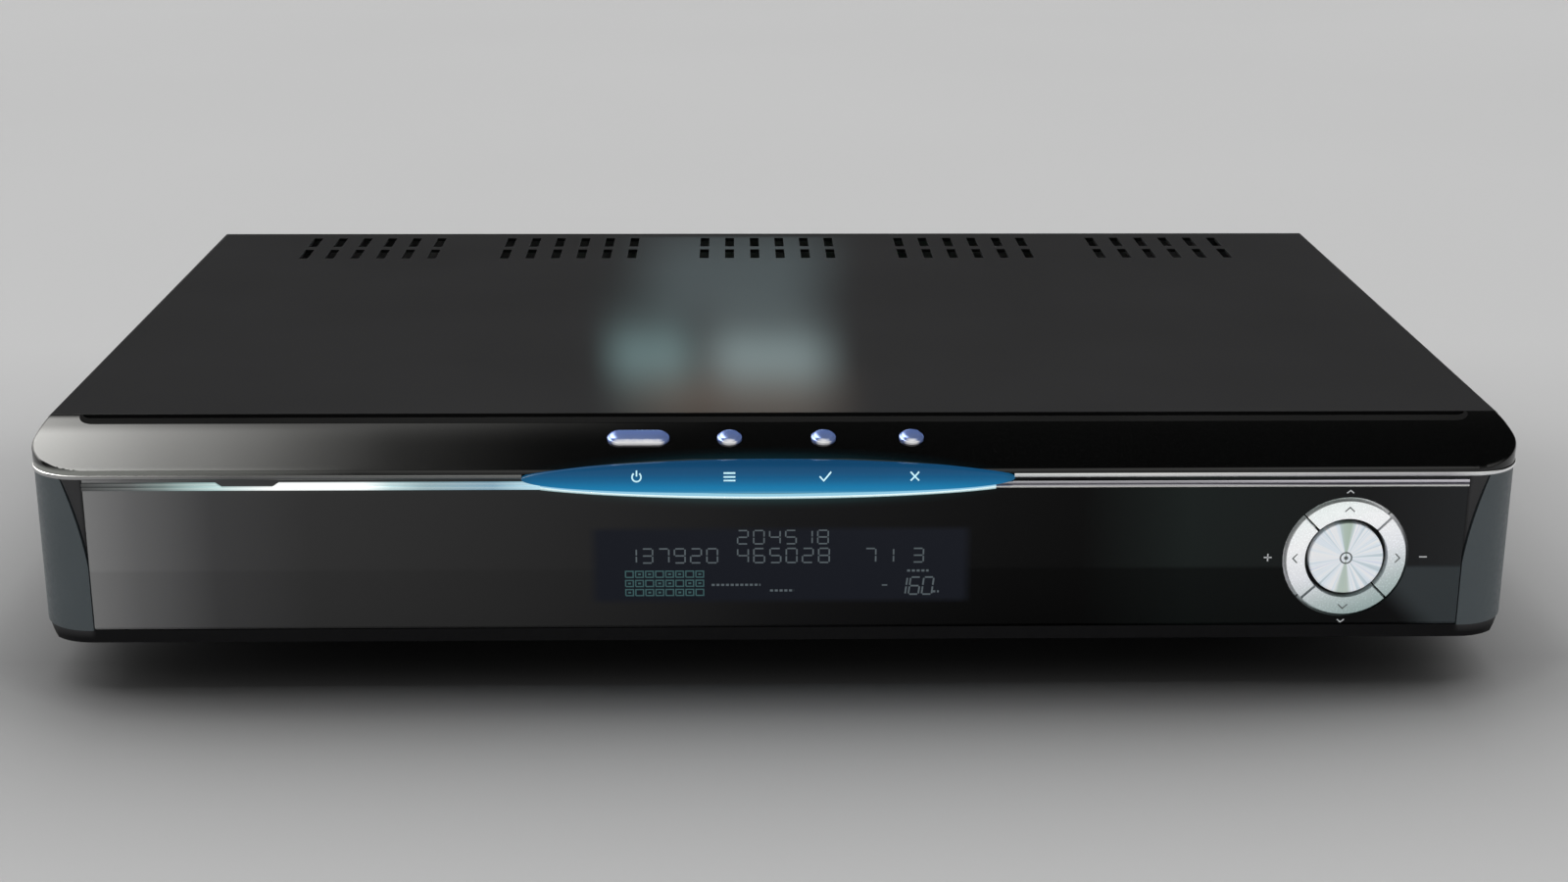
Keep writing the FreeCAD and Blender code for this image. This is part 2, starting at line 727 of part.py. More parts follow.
def nav_ring():
    """Four arc keys cut from one ring along its diagonals, in the pad's frame."""
    low = -fascia_thick - seam - 1.0
    step = low + 1.0
    soft = 0.5
    ring = turned([(nav_inner, low), (nav_flange, low), (nav_flange, step), (nav_outer, step),
                   (nav_outer, nav_proud - soft), (nav_outer - soft, nav_proud),
                   (nav_inner + soft, nav_proud), (nav_inner, nav_proud - soft)])
    for turn in (45, 135):
        gap = box(-30, 30, -nav_split / 2, nav_split / 2, low - 1, nav_proud + 1)
        gap.rotate(Vec(0, 0, 0), Vec(0, 0, 1), turn)
        ring = ring.cut(gap)
    return ring.Solids


def arc_key(turn):
    """One arc key with its stem; turn 0 is right, 90 is up."""
    direction = Vec(math.cos(math.radians(turn)), math.sin(math.radians(turn)), 0)
    for solid in nav_ring():
        if solid.CenterOfMass.dot(direction) > nav_inner * 0.7:
            arc = solid
    low = -fascia_thick - seam - 1.0
    stem = box(nav_stem_radius - arc_stem, nav_stem_radius + arc_stem, -arc_stem, arc_stem, -nav_stem_end(),
               low + 0.2)
    stem.rotate(Vec(0, 0, 0), Vec(0, 0, 1), turn)
    return placed(arc.fuse(stem), nav_frame)


def nav_centre():
    """Centre key: disc with a sloped rim on a square stem that snaps behind the guide."""
    r = nav_centre_radius
    low = -fascia_thick - 0.8
    rim = 0.5
    disc = turned([(0, low), (r, low), (r, nav_proud - rim), (r - rim, nav_proud), (0, nav_proud)])
    stem = box(-nav_stem, nav_stem, -nav_stem, nav_stem, -nav_stem_end(), low)
    snap_top = -(fascia_thick + frame_wall) - nav_floor - seam
    snap = box(-nav_snap, nav_snap, -nav_snap, nav_snap, snap_top - 0.7, snap_top)
    return placed(disc.fuse([stem, snap]), nav_frame)


# ======================================================================= boards behind the front
def tact_switch(height):
    """Push switch standing on z 0: square body and square plunger, of a given total height."""
    s = switch_size / 2
    body = box(-s, s, -s, s, 0, switch_height)
    p = plunger_half
    return body.fuse(box(-p, p, -p, p, switch_height, height))


def key_board():
    deep = key_board_deep / 2
    board = box(boss_x[0] - 4, boss_x[1] + 4, -deep, deep, -key_board_drop - board_thick, -key_board_drop)
    for x in boss_x:
        board = board.cut(core(board_hole, 5, Vec(x, 0, -key_board_drop - 3), Vec(0, 0, 1)))
    return placed(board, lip_frame)


def key_switches():
    switches = []
    for x in [power_x] + list(round_key_x.values()):
        switches.append(placed(moved(tact_switch(switch_top), x, 0, -key_board_drop), lip_frame))
    return Part.makeCompound(switches)


def key_board_screws():
    screws = []
    for x in boss_x:
        screw = board_screw(board_shank, 5.5, board_head)
        screw.rotate(Vec(0, 0, 0), Vec(1, 0, 0), 180)
        screws.append(placed(moved(screw, x, 0, -key_board_drop - board_thick), lip_frame))
    return Part.makeCompound(screws)


def lens_leds():
    """Small lamps on the key board's front edge, behind the lens."""
    lamps = []
    edge = -key_board_deep / 2 + 0.5
    for x in [power_x] + list(round_key_x.values()):
        lamp = box(x - 1.6, x + 1.6, edge, edge + 2.0, -key_board_drop, -key_board_drop + 1.4)
        lamps.append(placed(lamp, lip_frame))
    return Part.makeCompound(lamps)


def display_module():
    """Display tube: a flat glass envelope with its thinner lead ledge below."""
    glass = box(display_x - tube_wide / 2, display_x + tube_wide / 2, tube_front, tube_back,
                display_z - tube_high / 2, display_z + tube_high / 2)
    ledge = box(display_x - tube_wide / 2, display_x + tube_wide / 2, tube_front + 2.0,
                tube_front + 3.2, display_z - tube_high / 2 - tube_ledge, display_z)
    return glass.fuse(ledge).removeSplitter()


def display_holder():
    """Frame-shaped carrier between the display tube and its board."""
    x0 = display_x - tube_wide / 2
    x1 = display_x + tube_wide / 2
    z0 = display_z - tube_high / 2
    z1 = display_z + tube_high / 2
    carrier = box(x0, x1, tube_back, board_front, z0, z1)
    return carrier.cut(box(x0 + 6, x1 - 6, tube_back - 1, board_front + 1, z0 + 5, z1 - 5))


def front_board():
    board = box(front_board_left, front_board_right, board_front, board_back,
                front_board_low, front_board_high)
    for x, z in front_spots:
        board = board.cut(core(board_hole, 4, Vec(x, board_front - 1, z), Vec(0, 1, 0)))
    return board


def front_board_screws():
    screws = []
    turn = FreeCAD.Rotation(Vec(1, 0, 0), -90)
    for x, z in front_spots:
        frame = FreeCAD.Placement(Vec(x, board_back, z), turn)
        screws.append(placed(board_screw(board_shank, 5.5, board_head), frame))
    return Part.makeCompound(screws)


def nav_switches():
    height = switch_size * 0.5 + 2.0
    depth = board_front - fascia_face
    spots = [(0, 0)] + [(nav_stem_radius * math.cos(math.radians(a)),
                         nav_stem_radius * math.sin(math.radians(a))) for a in (0, 90, 180, 270)]
    return Part.makeCompound([placed(moved(tact_switch(height), x, y, -depth), nav_frame)
                              for x, y in spots])


def ir_receiver():
    """Remote-control eye on the front board: a block with a round window."""
    eye = box(ir_x - 3.2, ir_x + 3.2, board_front - 3.6, board_front, display_z - 4.0, display_z + 4.0)
    return eye.fuse(rod(2.6, 2.0, Vec(ir_x, board_front - 5.4, display_z), Vec(0, 1, 0)))


def ribbon_cable():
    """Flat cable from the front board back through the front wall to the main board."""
    thick = 0.9
    half_wide = 12.0
    x = 20.0
    z_front = base_z + 15.0
    z_main = main_top + 6.5
    y0 = board_back + 2.6
    y1 = main_front + 12.0
    bend = 4.0
    drop = z_front - z_main
    a = Vec(0, y0, z_front)
    b = Vec(0, wall_back + 8, z_front)
    c = Vec(0, wall_back + 8 + drop, z_main)
    d = Vec(0, y1 - bend, z_main)
    run = [a, b, c, d]
    upper = [p + Vec(0, 0, thick) for p in run]
    sheet_part = prism(run + upper[::-1], Vec(2 * half_wide, 0, 0))
    sheet_part.translate(Vec(x - half_wide, 0, 0))
    plug_front = box(x - half_wide - 1.5, x + half_wide + 1.5, board_back, y0, z_front - 2.4, z_front + 3.4)
    plug_main = box(x - half_wide - 1.5, x + half_wide + 1.5, y1 - bend, y1 + 2, main_top, z_main + 2.4)
    return join([sheet_part, plug_front, plug_main])


# ======================================================================= chassis
def top_cover():
    low = base_z + cover_skirt
    shell = box(-half, half, cover_front, cover_rear, low, top_z)
    inner = box(-half + sheet, half - sheet, cover_front - 1, cover_rear - sheet, low - 1, top_z - sheet)
    rear_gap = box(-half + sheet, half - sheet, cover_rear - sheet - 1, cover_rear + 1, low - 1,
                   top_z - rear_fold)

    def folded(middle, edge):
        long_side = abs(abs(middle.x) - half) < 0.01 and abs(middle.z - top_z) < 0.01
        rear = abs(middle.y - cover_rear) < 0.01 and abs(middle.z - top_z) < 0.01
        return long_side or rear
    shell = shell.makeFillet(sheet_bend, edges_where(shell, folded))
    shell = shell.cut(inner).cut(rear_gap)
    slots = []
    for group in range(vent_groups):
        middle = (group - (vent_groups - 1) / 2) * vent_group_pitch
        for column in range(vent_columns):
            x = middle + (column - (vent_columns - 1) / 2) * vent_pitch
            for y in vent_rows:
                slots.append(box(x - vent_width / 2, x + vent_width / 2, y - vent_long / 2,
                                 y + vent_long / 2, top_z - 2 * sheet, top_z + 1))
    side_middle = (cover_front + cover_rear) / 2 + 20
    for i in range(side_vents):
        y = side_middle + (i - (side_vents - 1) / 2) * side_vent_pitch
        z = (base_z + top_z) / 2
        slots.append(box(-half - 1, half + 1, y - vent_width / 2, y + vent_width / 2,
                         z - side_vent_height / 2, z + side_vent_height / 2))
    for y in side_screw_y:
        slots.append(core(screw_hole, width + 4, Vec(-half - 2, y, side_screw_z), Vec(1, 0, 0)))
    for x in rear_screw_x:
        slots.append(core(screw_hole, 4, Vec(x, cover_rear - 3, rear_screw_z), Vec(0, 1, 0)))
    return shell.cut(Part.makeCompound(slots))


def base_tray():
    side_high = base_z + 16.0
    rear_high = main_z - 0.5
    side_rear = panel_back - sheet_fit
    plate = box(-tray_side, tray_side, wall_front, panel_back, base_z, floor_top)
    side = box(tray_side - sheet, tray_side, wall_front, side_rear, base_z, side_high)
    front = box(-tray_side, tray_side, wall_front, wall_back, base_z, top_z - sheet - sheet_fit)
    rear = box(-tray_side + 14, tray_side - 14, panel_back - sheet, panel_back, base_z, rear_high)
    tray = join([plate, side, mirrored(side), front, rear])
    cuts = [box(x0, x1, wall_front - 1, wall_back + 1, base_z + 9, base_z + 30) for x0, x1 in wall_windows]
    for x0 in (-150.0, 30.0):
        for i in range(base_vents):
            y = (main_front + main_rear) / 2 + (i - (base_vents - 1) / 2) * base_vent_pitch
            cuts.append(box(x0, x0 + base_vent_long, y - vent_width / 2, y + vent_width / 2, base_z - 1,
                            floor_top + 1))
    peg = foot_peg + sheet_fit
    for x, y in foot_spots:
        cuts.append(box(x - peg, x + peg, y - peg, y + peg, base_z - 1, floor_top + 1))
    for y in side_screw_y:
        cuts.append(core(screw_hole, width, Vec(-half, y, side_screw_z), Vec(1, 0, 0)))
    for x in low_screw_x:
        cuts.append(core(screw_hole, 4, Vec(x, panel_back - 3, low_screw_z), Vec(0, 1, 0)))
    return tray.cut(Part.makeCompound(cuts))


def panel_window(x, wide, low, high):
    """Cut-out of the rear panel round a socket of that width and height."""
    return box(x - wide / 2 - socket_gap, x + wide / 2 + socket_gap, panel_back - 1, panel_face + 1,
               low - socket_gap, high + socket_gap)


def rear_panel():
    plate = box(-tray_side, tray_side, panel_back, panel_face, base_z, top_z - sheet - sheet_fit)
    gap = 0.3
    cuts = []
    flats = 8
    corner = (f_radius + gap) / math.cos(math.pi / flats)
    for x in f_spots:
        cuts.append(core(corner, 4, Vec(x, panel_back - 1, f_z), Vec(0, 1, 0), flats))
    phono_half = phono_columns * phono_pitch_x / 2 + gap
    cuts.append(box(phono_x - phono_half, phono_x + phono_half, panel_back - 1, panel_face + 1,
                    main_top - 0.2, phono_top + gap))
    windows = [(optical_x, optical_wide, optical_high), (hdmi_x, hdmi_wide, hdmi_high),
               (network_x, network_wide, network_high), (usb_x, usb_wide, usb_high)]
    for x, wide, high in windows:
        cuts.append(panel_window(x, wide, main_top, main_top + high))
    cuts.append(panel_window(serial_x, 2 * serial_half, main_top + 1.5, main_top + 10.7))
    cuts.append(panel_window(switch_x, switch_wide, mains_z - switch_high / 2, mains_z + switch_high / 2))
    cuts.append(panel_window(inlet_x, inlet_wide, mains_z - inlet_high / 2, mains_z + inlet_high / 2))
    for side in (-1, 1):
        ear = Vec(inlet_x + side * inlet_ear, panel_back - 1, mains_z)
        cuts.append(core(screw_hole, 4, ear, Vec(0, 1, 0)))
    for x in rear_screw_x:
        cuts.append(core(screw_hole, 4, Vec(x, panel_back - 1, rear_screw_z), Vec(0, 1, 0)))
    for x in low_screw_x:
        cuts.append(core(screw_hole, 4, Vec(x, panel_back - 1, low_screw_z), Vec(0, 1, 0)))
    return plate.cut(Part.makeCompound(cuts))


def cover_screws():
    """Four screws in the cover's sides."""
    screws = []
    for side in (-1, 1):
        turn = FreeCAD.Rotation(Vec(0, 1, 0), 90 * side)
        for y in side_screw_y:
            frame = FreeCAD.Placement(Vec(side * half, y, side_screw_z), turn)
            screws.append(placed(pan_screw(screw_shank, 5.0, screw_head), frame))
    return Part.makeCompound(screws)


def rear_screws():
    """Three screws through the cover's rear fold and two low in the rear panel."""
    screws = [placed(pan_screw(screw_shank, 5.0, screw_head),
                     FreeCAD.Placement(Vec(x, cover_rear, rear_screw_z), rear_frame_turn))
              for x in rear_screw_x]
    low_screw = pan_screw(screw_shank, 4.0, screw_head)
    screws += [placed(low_screw, on_rear(x, low_screw_z)) for x in low_screw_x]
    return Part.makeCompound(screws)


# ======================================================================= main board and its connectors
def board_with_holes(x0, x1, y0, y1, spots):
    board = box(x0, x1, y0, y1, main_z, main_top)
    for x, y in spots:
        board = board.cut(core(board_hole, 4, Vec(x, y, main_z - 1), Vec(0, 0, 1)))
    return board


def main_board():
    return board_with_holes(main_left, main_right, main_front, main_rear, main_spots)


def power_board():
    return board_with_holes(power_left, power_right, power_front, power_rear, power_spots)


def board_standoffs():
    """Hexagon posts pressed into the floor under both boards."""
    posts = []
    for x, y in main_spots + power_spots:
        post = core(3.2, standoff_height, Vec(x, y, floor_top), Vec(0, 0, 1))
        posts.append(post.cut(core(board_hole, standoff_height, Vec(x, y, floor_top + 1), Vec(0, 0, 1))))
    return Part.makeCompound(posts)


def board_screws():
    return Part.makeCompound([moved(board_screw(board_shank, 5.0, board_head), x, y, main_top)
                              for x, y in main_spots + power_spots])


def processor_heatsink():
    """Finned block over the main chip, with the chip under it."""
    x = -30.0
    y = main_front + 46.0
    size = 36.0
    s = size / 2
    chip = box(x - 13, x + 13, y - 13, y + 13, main_top, main_top + 2.0)
    base = box(x - s, x + s, y - s, y + s, main_top + 2.0, main_top + 4.5)
    fins = 9
    pitch = size / fins
    parts = [chip, base]
    for i in range(fins):
        left = x - s + i * pitch + pitch * 0.3
        parts.append(box(left, left + 1.4, y - s, y + s, main_top + 4.0, main_top + 15.0))
    return join(parts)


def tuner(x):
    """Screened tuner can standing on the board against the rear panel."""
    can = box(x - tuner_wide / 2, x + tuner_wide / 2, panel_back - tuner_long, panel_back,
              main_top, main_top + tuner_high)
    lid = box(x - tuner_wide / 2 - 0.4, x + tuner_wide / 2 + 0.4, panel_back - tuner_long - 0.4,
              panel_back - 1.0, main_top + 4.0, main_top + tuner_high + 0.4)
    body = can.fuse(lid).removeSplitter()
    for i in range(4):
        y = panel_back - tuner_long + 8 + i * 13.0
        body = body.cut(box(x - 10, x + 10, y, y + 2.0, main_top + tuner_high - 0.1,
                            main_top + tuner_high + 1))
    return body


def f_connectors():
    """Aerial sockets: threaded barrel with a hexagon nut against the panel."""
    sockets = []
    nut_corner = 12.0 / 2 / math.cos(math.pi / 6)
    for x in f_spots:
        barrel = rod(f_radius, f_length + sheet, Vec(0, 0, -sheet), Vec(0, 0, 1))
        nut = core(nut_corner, 2.6, Vec(0, 0, 0), Vec(0, 0, 1))
        body = barrel.fuse(nut)
        body = body.cut(core(f_bore, 8.0, Vec(0, 0, f_length - 7.0), Vec(0, 0, 1)))
        sockets.append(placed(body, on_rear(x, f_z)))
    return Part.makeCompound(sockets)


def phono_sockets():
    """Two rows of three phono sockets on one moulded block."""
    wide = phono_columns * phono_pitch_x
    block = box(phono_x - wide / 2, phono_x + wide / 2, panel_back - 12.0, panel_face + socket_out,
                main_top, phono_top)
    parts = [block]
    for column in range(phono_columns):
        for row in range(2):
            x = phono_x + (column - 1) * phono_pitch_x
            z = phono_low_z + row * phono_pitch_z
            collar = rod(phono_radius, phono_reach, Vec(x, panel_face, z), Vec(0, 1, 0))
            parts.append(collar)
    body = join(parts)
    for column in range(phono_columns):
        for row in range(2):
            x = phono_x + (column - 1) * phono_pitch_x
            z = phono_low_z + row * phono_pitch_z
            tip = panel_face + phono_reach
            body = body.cut(core(phono_bore, 9.0, Vec(x, tip - 8.0, z), Vec(0, 1, 0), 8))
    return body


def open_box(x, wide, high, deep, wall, reach):
    """A socket shell on the board: a block hollowed from the back."""
    outer = box(x - wide / 2, x + wide / 2, panel_face + reach - deep, panel_face + reach,
                main_top, main_top + high)
    inner = box(x - wide / 2 + wall, x + wide / 2 - wall, panel_face + reach - deep + 2.0,
                panel_face + reach + 1, main_top + wall, main_top + high - wall)
    return outer.cut(inner)


def hdmi_socket():
    shell = open_box(hdmi_x, hdmi_wide, hdmi_high, 12.0, 0.5, socket_out)
    for side in (-1, 1):
        edge = hdmi_x + side * (hdmi_wide / 2 + 0.1)
        corner = prism([Vec(edge, panel_face - 12, main_top - 0.1),
                        Vec(edge - side * 2.0, panel_face - 12, main_top - 0.1),
                        Vec(edge, panel_face - 12, main_top + 1.9)], Vec(0, 14, 0))
        shell = shell.cut(corner)
    tongue = box(hdmi_x - 5.0, hdmi_x + 5.0, panel_face - 10.0, panel_face - 1.0, main_top + 3.0,
                 main_top + 4.0)
    return shell.fuse(tongue)


def usb_socket():
    shell = open_box(usb_x, usb_wide, usb_high, 14.0, 0.5, socket_out)
    tongue = box(usb_x - 5.5, usb_x + 5.5, panel_face - 12.0, panel_face - 1.0, main_top + 3.6,
                 main_top + 5.0)
    return shell.fuse(tongue)


def network_socket():
    """Eight-way network jack: opening with a latch step below."""
    body = box(network_x - network_wide / 2, network_x + network_wide / 2, panel_face - 15.0,
               panel_face + socket_out, main_top, main_top + network_high)
    opening = box(network_x - 5.9, network_x + 5.9, panel_face - 11.0, panel_face + 2,
                  main_top + 4.2, main_top + 11.4)
    latch = box(network_x - 3.1, network_x + 3.1, panel_face - 11.0, panel_face + 2,
                main_top + 1.6, main_top + 4.3)
    return body.cut(opening).cut(latch)


def optical_socket():
    """Square optical outlet with a five-sided opening."""
    body = box(optical_x - optical_wide / 2, optical_x + optical_wide / 2, panel_face - 12.0,
               panel_face + socket_out, main_top, main_top + optical_high)
    cx = optical_x
    z = main_top + 1.6
    opening = prism([Vec(cx - 3.0, panel_face - 5, z), Vec(cx + 3.0, panel_face - 5, z),
                     Vec(cx + 3.0, panel_face - 5, z + 4.4), Vec(cx + 1.4, panel_face - 5, z + 6.0),
                     Vec(cx - 1.4, panel_face - 5, z + 6.0), Vec(cx - 3.0, panel_face - 5, z + 4.4)],
                    Vec(0, 8, 0))
    return body.cut(opening)


def serial_socket():
    """Nine-way data socket: a D-shaped shell with two hexagon posts."""
    z = main_top + 6.1
    reach = 5.6
    flange = box(serial_x - 15.2, serial_x + 15.2, panel_back - 1.0, panel_back, main_top, main_top + 12.4)
    body = box(serial_x - 13.0, serial_x + 13.0, panel_back - 9.0, panel_back - 1.0,
               main_top, main_top + 11.0)
    half_top = serial_half - 0.4
    half_low = half_top - 1.2

    def d_shape(grow, low, high):
        points = [Vec(serial_x - half_low - grow, low, z - 4.0 - grow),
                  Vec(serial_x + half_low + grow, low, z - 4.0 - grow),
                  Vec(serial_x + half_top + grow, low, z + 4.0 + grow),
                  Vec(serial_x - half_top - grow, low, z + 4.0 + grow)]
        return prism(points, Vec(0, high - low, 0))
    shell = d_shape(0, panel_back - 1, panel_face + reach)
    hollow = d_shape(-0.5, panel_back, panel_face + reach + 1)
    socket = join([flange, body, shell.cut(hollow)])
    insert = d_shape(-1.2, panel_back - 0.2, panel_face + reach - 1.0)
    return socket.fuse(insert)


# ======================================================================= power side
def power_transformer():
    """Switching transformer: ferrite yoke round a wound bobbin."""
    x = 128.0
    y = power_front + 52.0
    yoke = box(x - 16, x + 16, y - 14, y + 14, main_top, main_top + 24)
    for side in (-1, 1):
        middle = x + side * 9.5
        window = box(middle - 4.0, middle + 4.0, y - 15, y + 15, main_top + 5, main_top + 19)
        yoke = yoke.cut(window)
    winding = rod(9.8, 18.0, Vec(x, y - 9.0, main_top + 12), Vec(0, 1, 0))
    winding = winding.common(box(x - 12, x + 12, y - 9, y + 9, main_top + 5, main_top + 19))
    return yoke.fuse(winding).removeSplitter()


def power_capacitors():
    """Three upright smoothing capacitors, the largest on the mains side."""
    cans = []
    sizes = ((152.0, 22.0, 9.0, 30.0), (112.0, 20.0, 5.0, 20.0), (100.5, 34.0, 5.0, 20.0))
    for x, dy, radius, height in sizes:
        cans.append(core(radius, height, Vec(x, power_front + dy, main_top), Vec(0, 0, 1), 16))
    return Part.makeCompound(cans)


def power_heatsink():
    """Upright aluminium plate with the switching transistor on it."""
    x = 106.0
    y = power_front + 66.0
    plate = box(x, x + 2.0, y - 20, y + 12, main_top, main_top + 28)
    foot = box(x - 6, x + 0.1, y - 20, y + 12, main_top, main_top + 2.0)
    device = box(x - 4.0, x, y - 12, y - 2, main_top + 6, main_top + 21)
    return join([plate, foot, device])


def mains_inlet():
    """Three-pole mains inlet: flange outside the panel, deep recess with sloped corners."""
    deep = inlet_deep
    flange = slot_prism(50.0, 22.5, inlet_flange)
    flange = placed(flange, on_rear(inlet_x, mains_z))
    outer = box(inlet_x - inlet_wide / 2, inlet_x + inlet_wide / 2, panel_face - deep, panel_face + 1,
                mains_z - inlet_high / 2, mains_z + inlet_high / 2)
    body = join([flange, outer])
    cut_half = 12.2
    cut_up = 7.9
    slope = 4.6
    front = panel_face - deep + inlet_floor
    recess = prism([Vec(inlet_x - cut_half, front, mains_z - cut_up),
                    Vec(inlet_x + cut_half, front, mains_z - cut_up),
                    Vec(inlet_x + cut_half, front, mains_z + cut_up - slope),
                    Vec(inlet_x + cut_half - slope, front, mains_z + cut_up),
                    Vec(inlet_x - cut_half + slope, front, mains_z + cut_up),
                    Vec(inlet_x - cut_half, front, mains_z + cut_up - slope)], Vec(0, deep + 5, 0))
    body = body.cut(recess)
    for side in (-1, 1):
        ear = Vec(inlet_x + side * inlet_ear, panel_face - 1, mains_z)
        body = body.cut(core(screw_hole, 8, ear, Vec(0, 1, 0)))
    return body


def inlet_pins():
    """Three flat blades in the inlet, the middle one higher and longer."""
    front = panel_face - inlet_deep + inlet_floor
    blades = []
    for dx, dz, length in ((-7.0, -2.0, 13.0), (0.0, 2.0, 15.0), (7.0, -2.0, 13.0)):
        blades.append(box(inlet_x + dx - 1.0, inlet_x + dx + 1.0, front, front + length,
                          mains_z + dz - 2.0, mains_z + dz + 2.0))
    return Part.makeCompound(blades)


def inlet_screws():
    screw = pan_screw(screw_shank, 5.5, 2.6)
    frame = on_rear(inlet_x, mains_z)
    return Part.makeCompound([placed(moved(screw, side * inlet_ear, 0, inlet_flange), frame)
                              for side in (-1, 1)])


rocker_wide = 16.0
rocker_high = 10.4
rocker_pivot_deep = 4.0
rocker_throw = 18.0


def switch_housing():
    """Snap-in housing of the mains switch: rim outside, box inside, pivot bosses in the side walls."""
    rim = box(switch_x - 10.6, switch_x + 10.6, panel_face, panel_face + 2.0, mains_z - 7.6, mains_z + 7.6)
    body = box(switch_x - switch_wide / 2, switch_x + switch_wide / 2, panel_face - 14.0, panel_face + 0.5,
               mains_z - switch_high / 2, mains_z + switch_high / 2)
    housing = join([rim, body])
    mouth = box(switch_x - rocker_wide / 2 - 0.35, switch_x + rocker_wide / 2 + 0.35, panel_face - 9.0,
                panel_face + 3, mains_z - rocker_high / 2 - 0.35, mains_z + rocker_high / 2 + 0.35)
    housing = housing.cut(mouth)
    pivot = rod(1.15, 22, Vec(switch_x - 9.2, panel_face - rocker_pivot_deep, mains_z), Vec(1, 0, 0))
    pivot = pivot.common(box(switch_x - 9.2, switch_x + 9.2, panel_face - 8, panel_face, mains_z - 2,
                             mains_z + 2))
    housing = housing.cut(pivot)
    for side in (-1, 1):
        lug = box(switch_x + side * 5 - 2.4, switch_x + side * 5 + 2.4, panel_face - 20.0,
                  panel_face - 13.9, mains_z - 0.4, mains_z + 0.4)
        housing = housing.fuse(lug)
    return housing


def mains_rocker():
    """Rocker with a shallow V face, tilted to one stop, on two stub pivots."""
    pivot_y = -rocker_pivot_deep
    w = rocker_wide / 2
    h = rocker_high / 2
    tilt = rocker_throw / 2
    profile = [Vec(-w, -1.6, -2.6), Vec(-w, -1.6, 2.6), Vec(-w, 4.4, h - 1.0), Vec(-w, 6.6, h - 1.1),
               Vec(-w, 5.6, 0), Vec(-w, 6.6, -h + 1.1), Vec(-w, 4.4, -h + 1.0)]
    rocker = prism(profile, Vec(2 * w, 0, 0))
    rocker = rocker.fuse(rod(1.1, 2 * w + 1.6, Vec(-w - 0.8, 0, 0), Vec(1, 0, 0)))
    rocker.rotate(Vec(0, 0, 0), Vec(1, 0, 0), -tilt)
    rocker.translate(Vec(switch_x, panel_face + pivot_y, mains_z))
    return rocker


# ======================================================================= feet
def feet():
    """Four round moulded feet, each with a square peg that snaps through the base."""
    height = foot_height - pad_thick
    body = rod(foot_radius, height, Vec(0, 0, 0), Vec(0, 0, 1))
    peg = box(-foot_peg, foot_peg, -foot_peg, foot_peg, height - 1, height + foot_peg_long)
    body = body.fuse(peg)
    return Part.makeCompound([moved(body, x, y, base_z - height) for x, y in foot_spots])


def foot_pads():
    """Rubber discs under the feet."""
    return Part.makeCompound([rod(pad_radius, pad_thick, Vec(x, y, 0), Vec(0, 0, 1))
                              for x, y in foot_spots])


# ======================================================================= write the nodes
nodes = {
    "top_cover": top_cover, "base_tray": base_tray, "rear_panel": rear_panel,
    "front_frame": front_frame, "top_lip": top_lip, "lip_trim": lip_trim,
    "fascia_window": fascia_window, "lens": lens, "lens_trim": lens_trim,
    "trim_strip_left": trim_strip_left, "trim_strip_right": trim_strip_right,
    "corner_right": corner_column, "corner_left": lambda: mirrored(corner_column()),
    "power_key": power_key,
    "nav_right": lambda: arc_key(0), "nav_up": lambda: arc_key(90),
    "nav_left": lambda: arc_key(180), "nav_down": lambda: arc_key(270),
    "nav_centre": nav_centre,
    "key_board": key_board, "key_switches": key_switches, "key_board_screws": key_board_screws,
    "lens_leds": lens_leds, "display_module": display_module, "display_holder": display_holder,
    "front_board": front_board, "front_board_screws": front_board_screws,
    "nav_switches": nav_switches, "ir_receiver": ir_receiver, "ribbon_cable": ribbon_cable,
    "cover_screws": cover_screws, "rear_screws": rear_screws,
    "main_board": main_board, "power_board": power_board, "board_standoffs": board_standoffs,
    "board_screws": board_screws, "processor_heatsink": processor_heatsink,
    "tuner_left": lambda: tuner(tuner_x["tuner_left"]),
    "tuner_right": lambda: tuner(tuner_x["tuner_right"]),
    "f_connectors": f_connectors, "phono_sockets": phono_sockets, "hdmi_socket": hdmi_socket,
    "usb_socket": usb_socket, "network_socket": network_socket, "optical_socket": optical_socket,
    "serial_socket": serial_socket, "power_transformer": power_transformer,
    "power_capacitors": power_capacitors, "power_heatsink": power_heatsink,
    "mains_inlet": mains_inlet, "inlet_pins": inlet_pins, "inlet_screws": inlet_screws,
    "switch_housing": switch_housing, "mains_rocker": mains_rocker,
    "feet": feet, "foot_pads": foot_pads,
}
for key_name, key_x in round_key_x.items():
    nodes[key_name] = lambda x=key_x: placed(moved(round_key(), x, 0, 0), lip_frame)

for name, make in nodes.items():
    make().exportStep("parts/" + name + ".step")
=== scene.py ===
import json
import math

import bmesh
import bpy
import numpy as np
from mathutils import Matrix, Vector


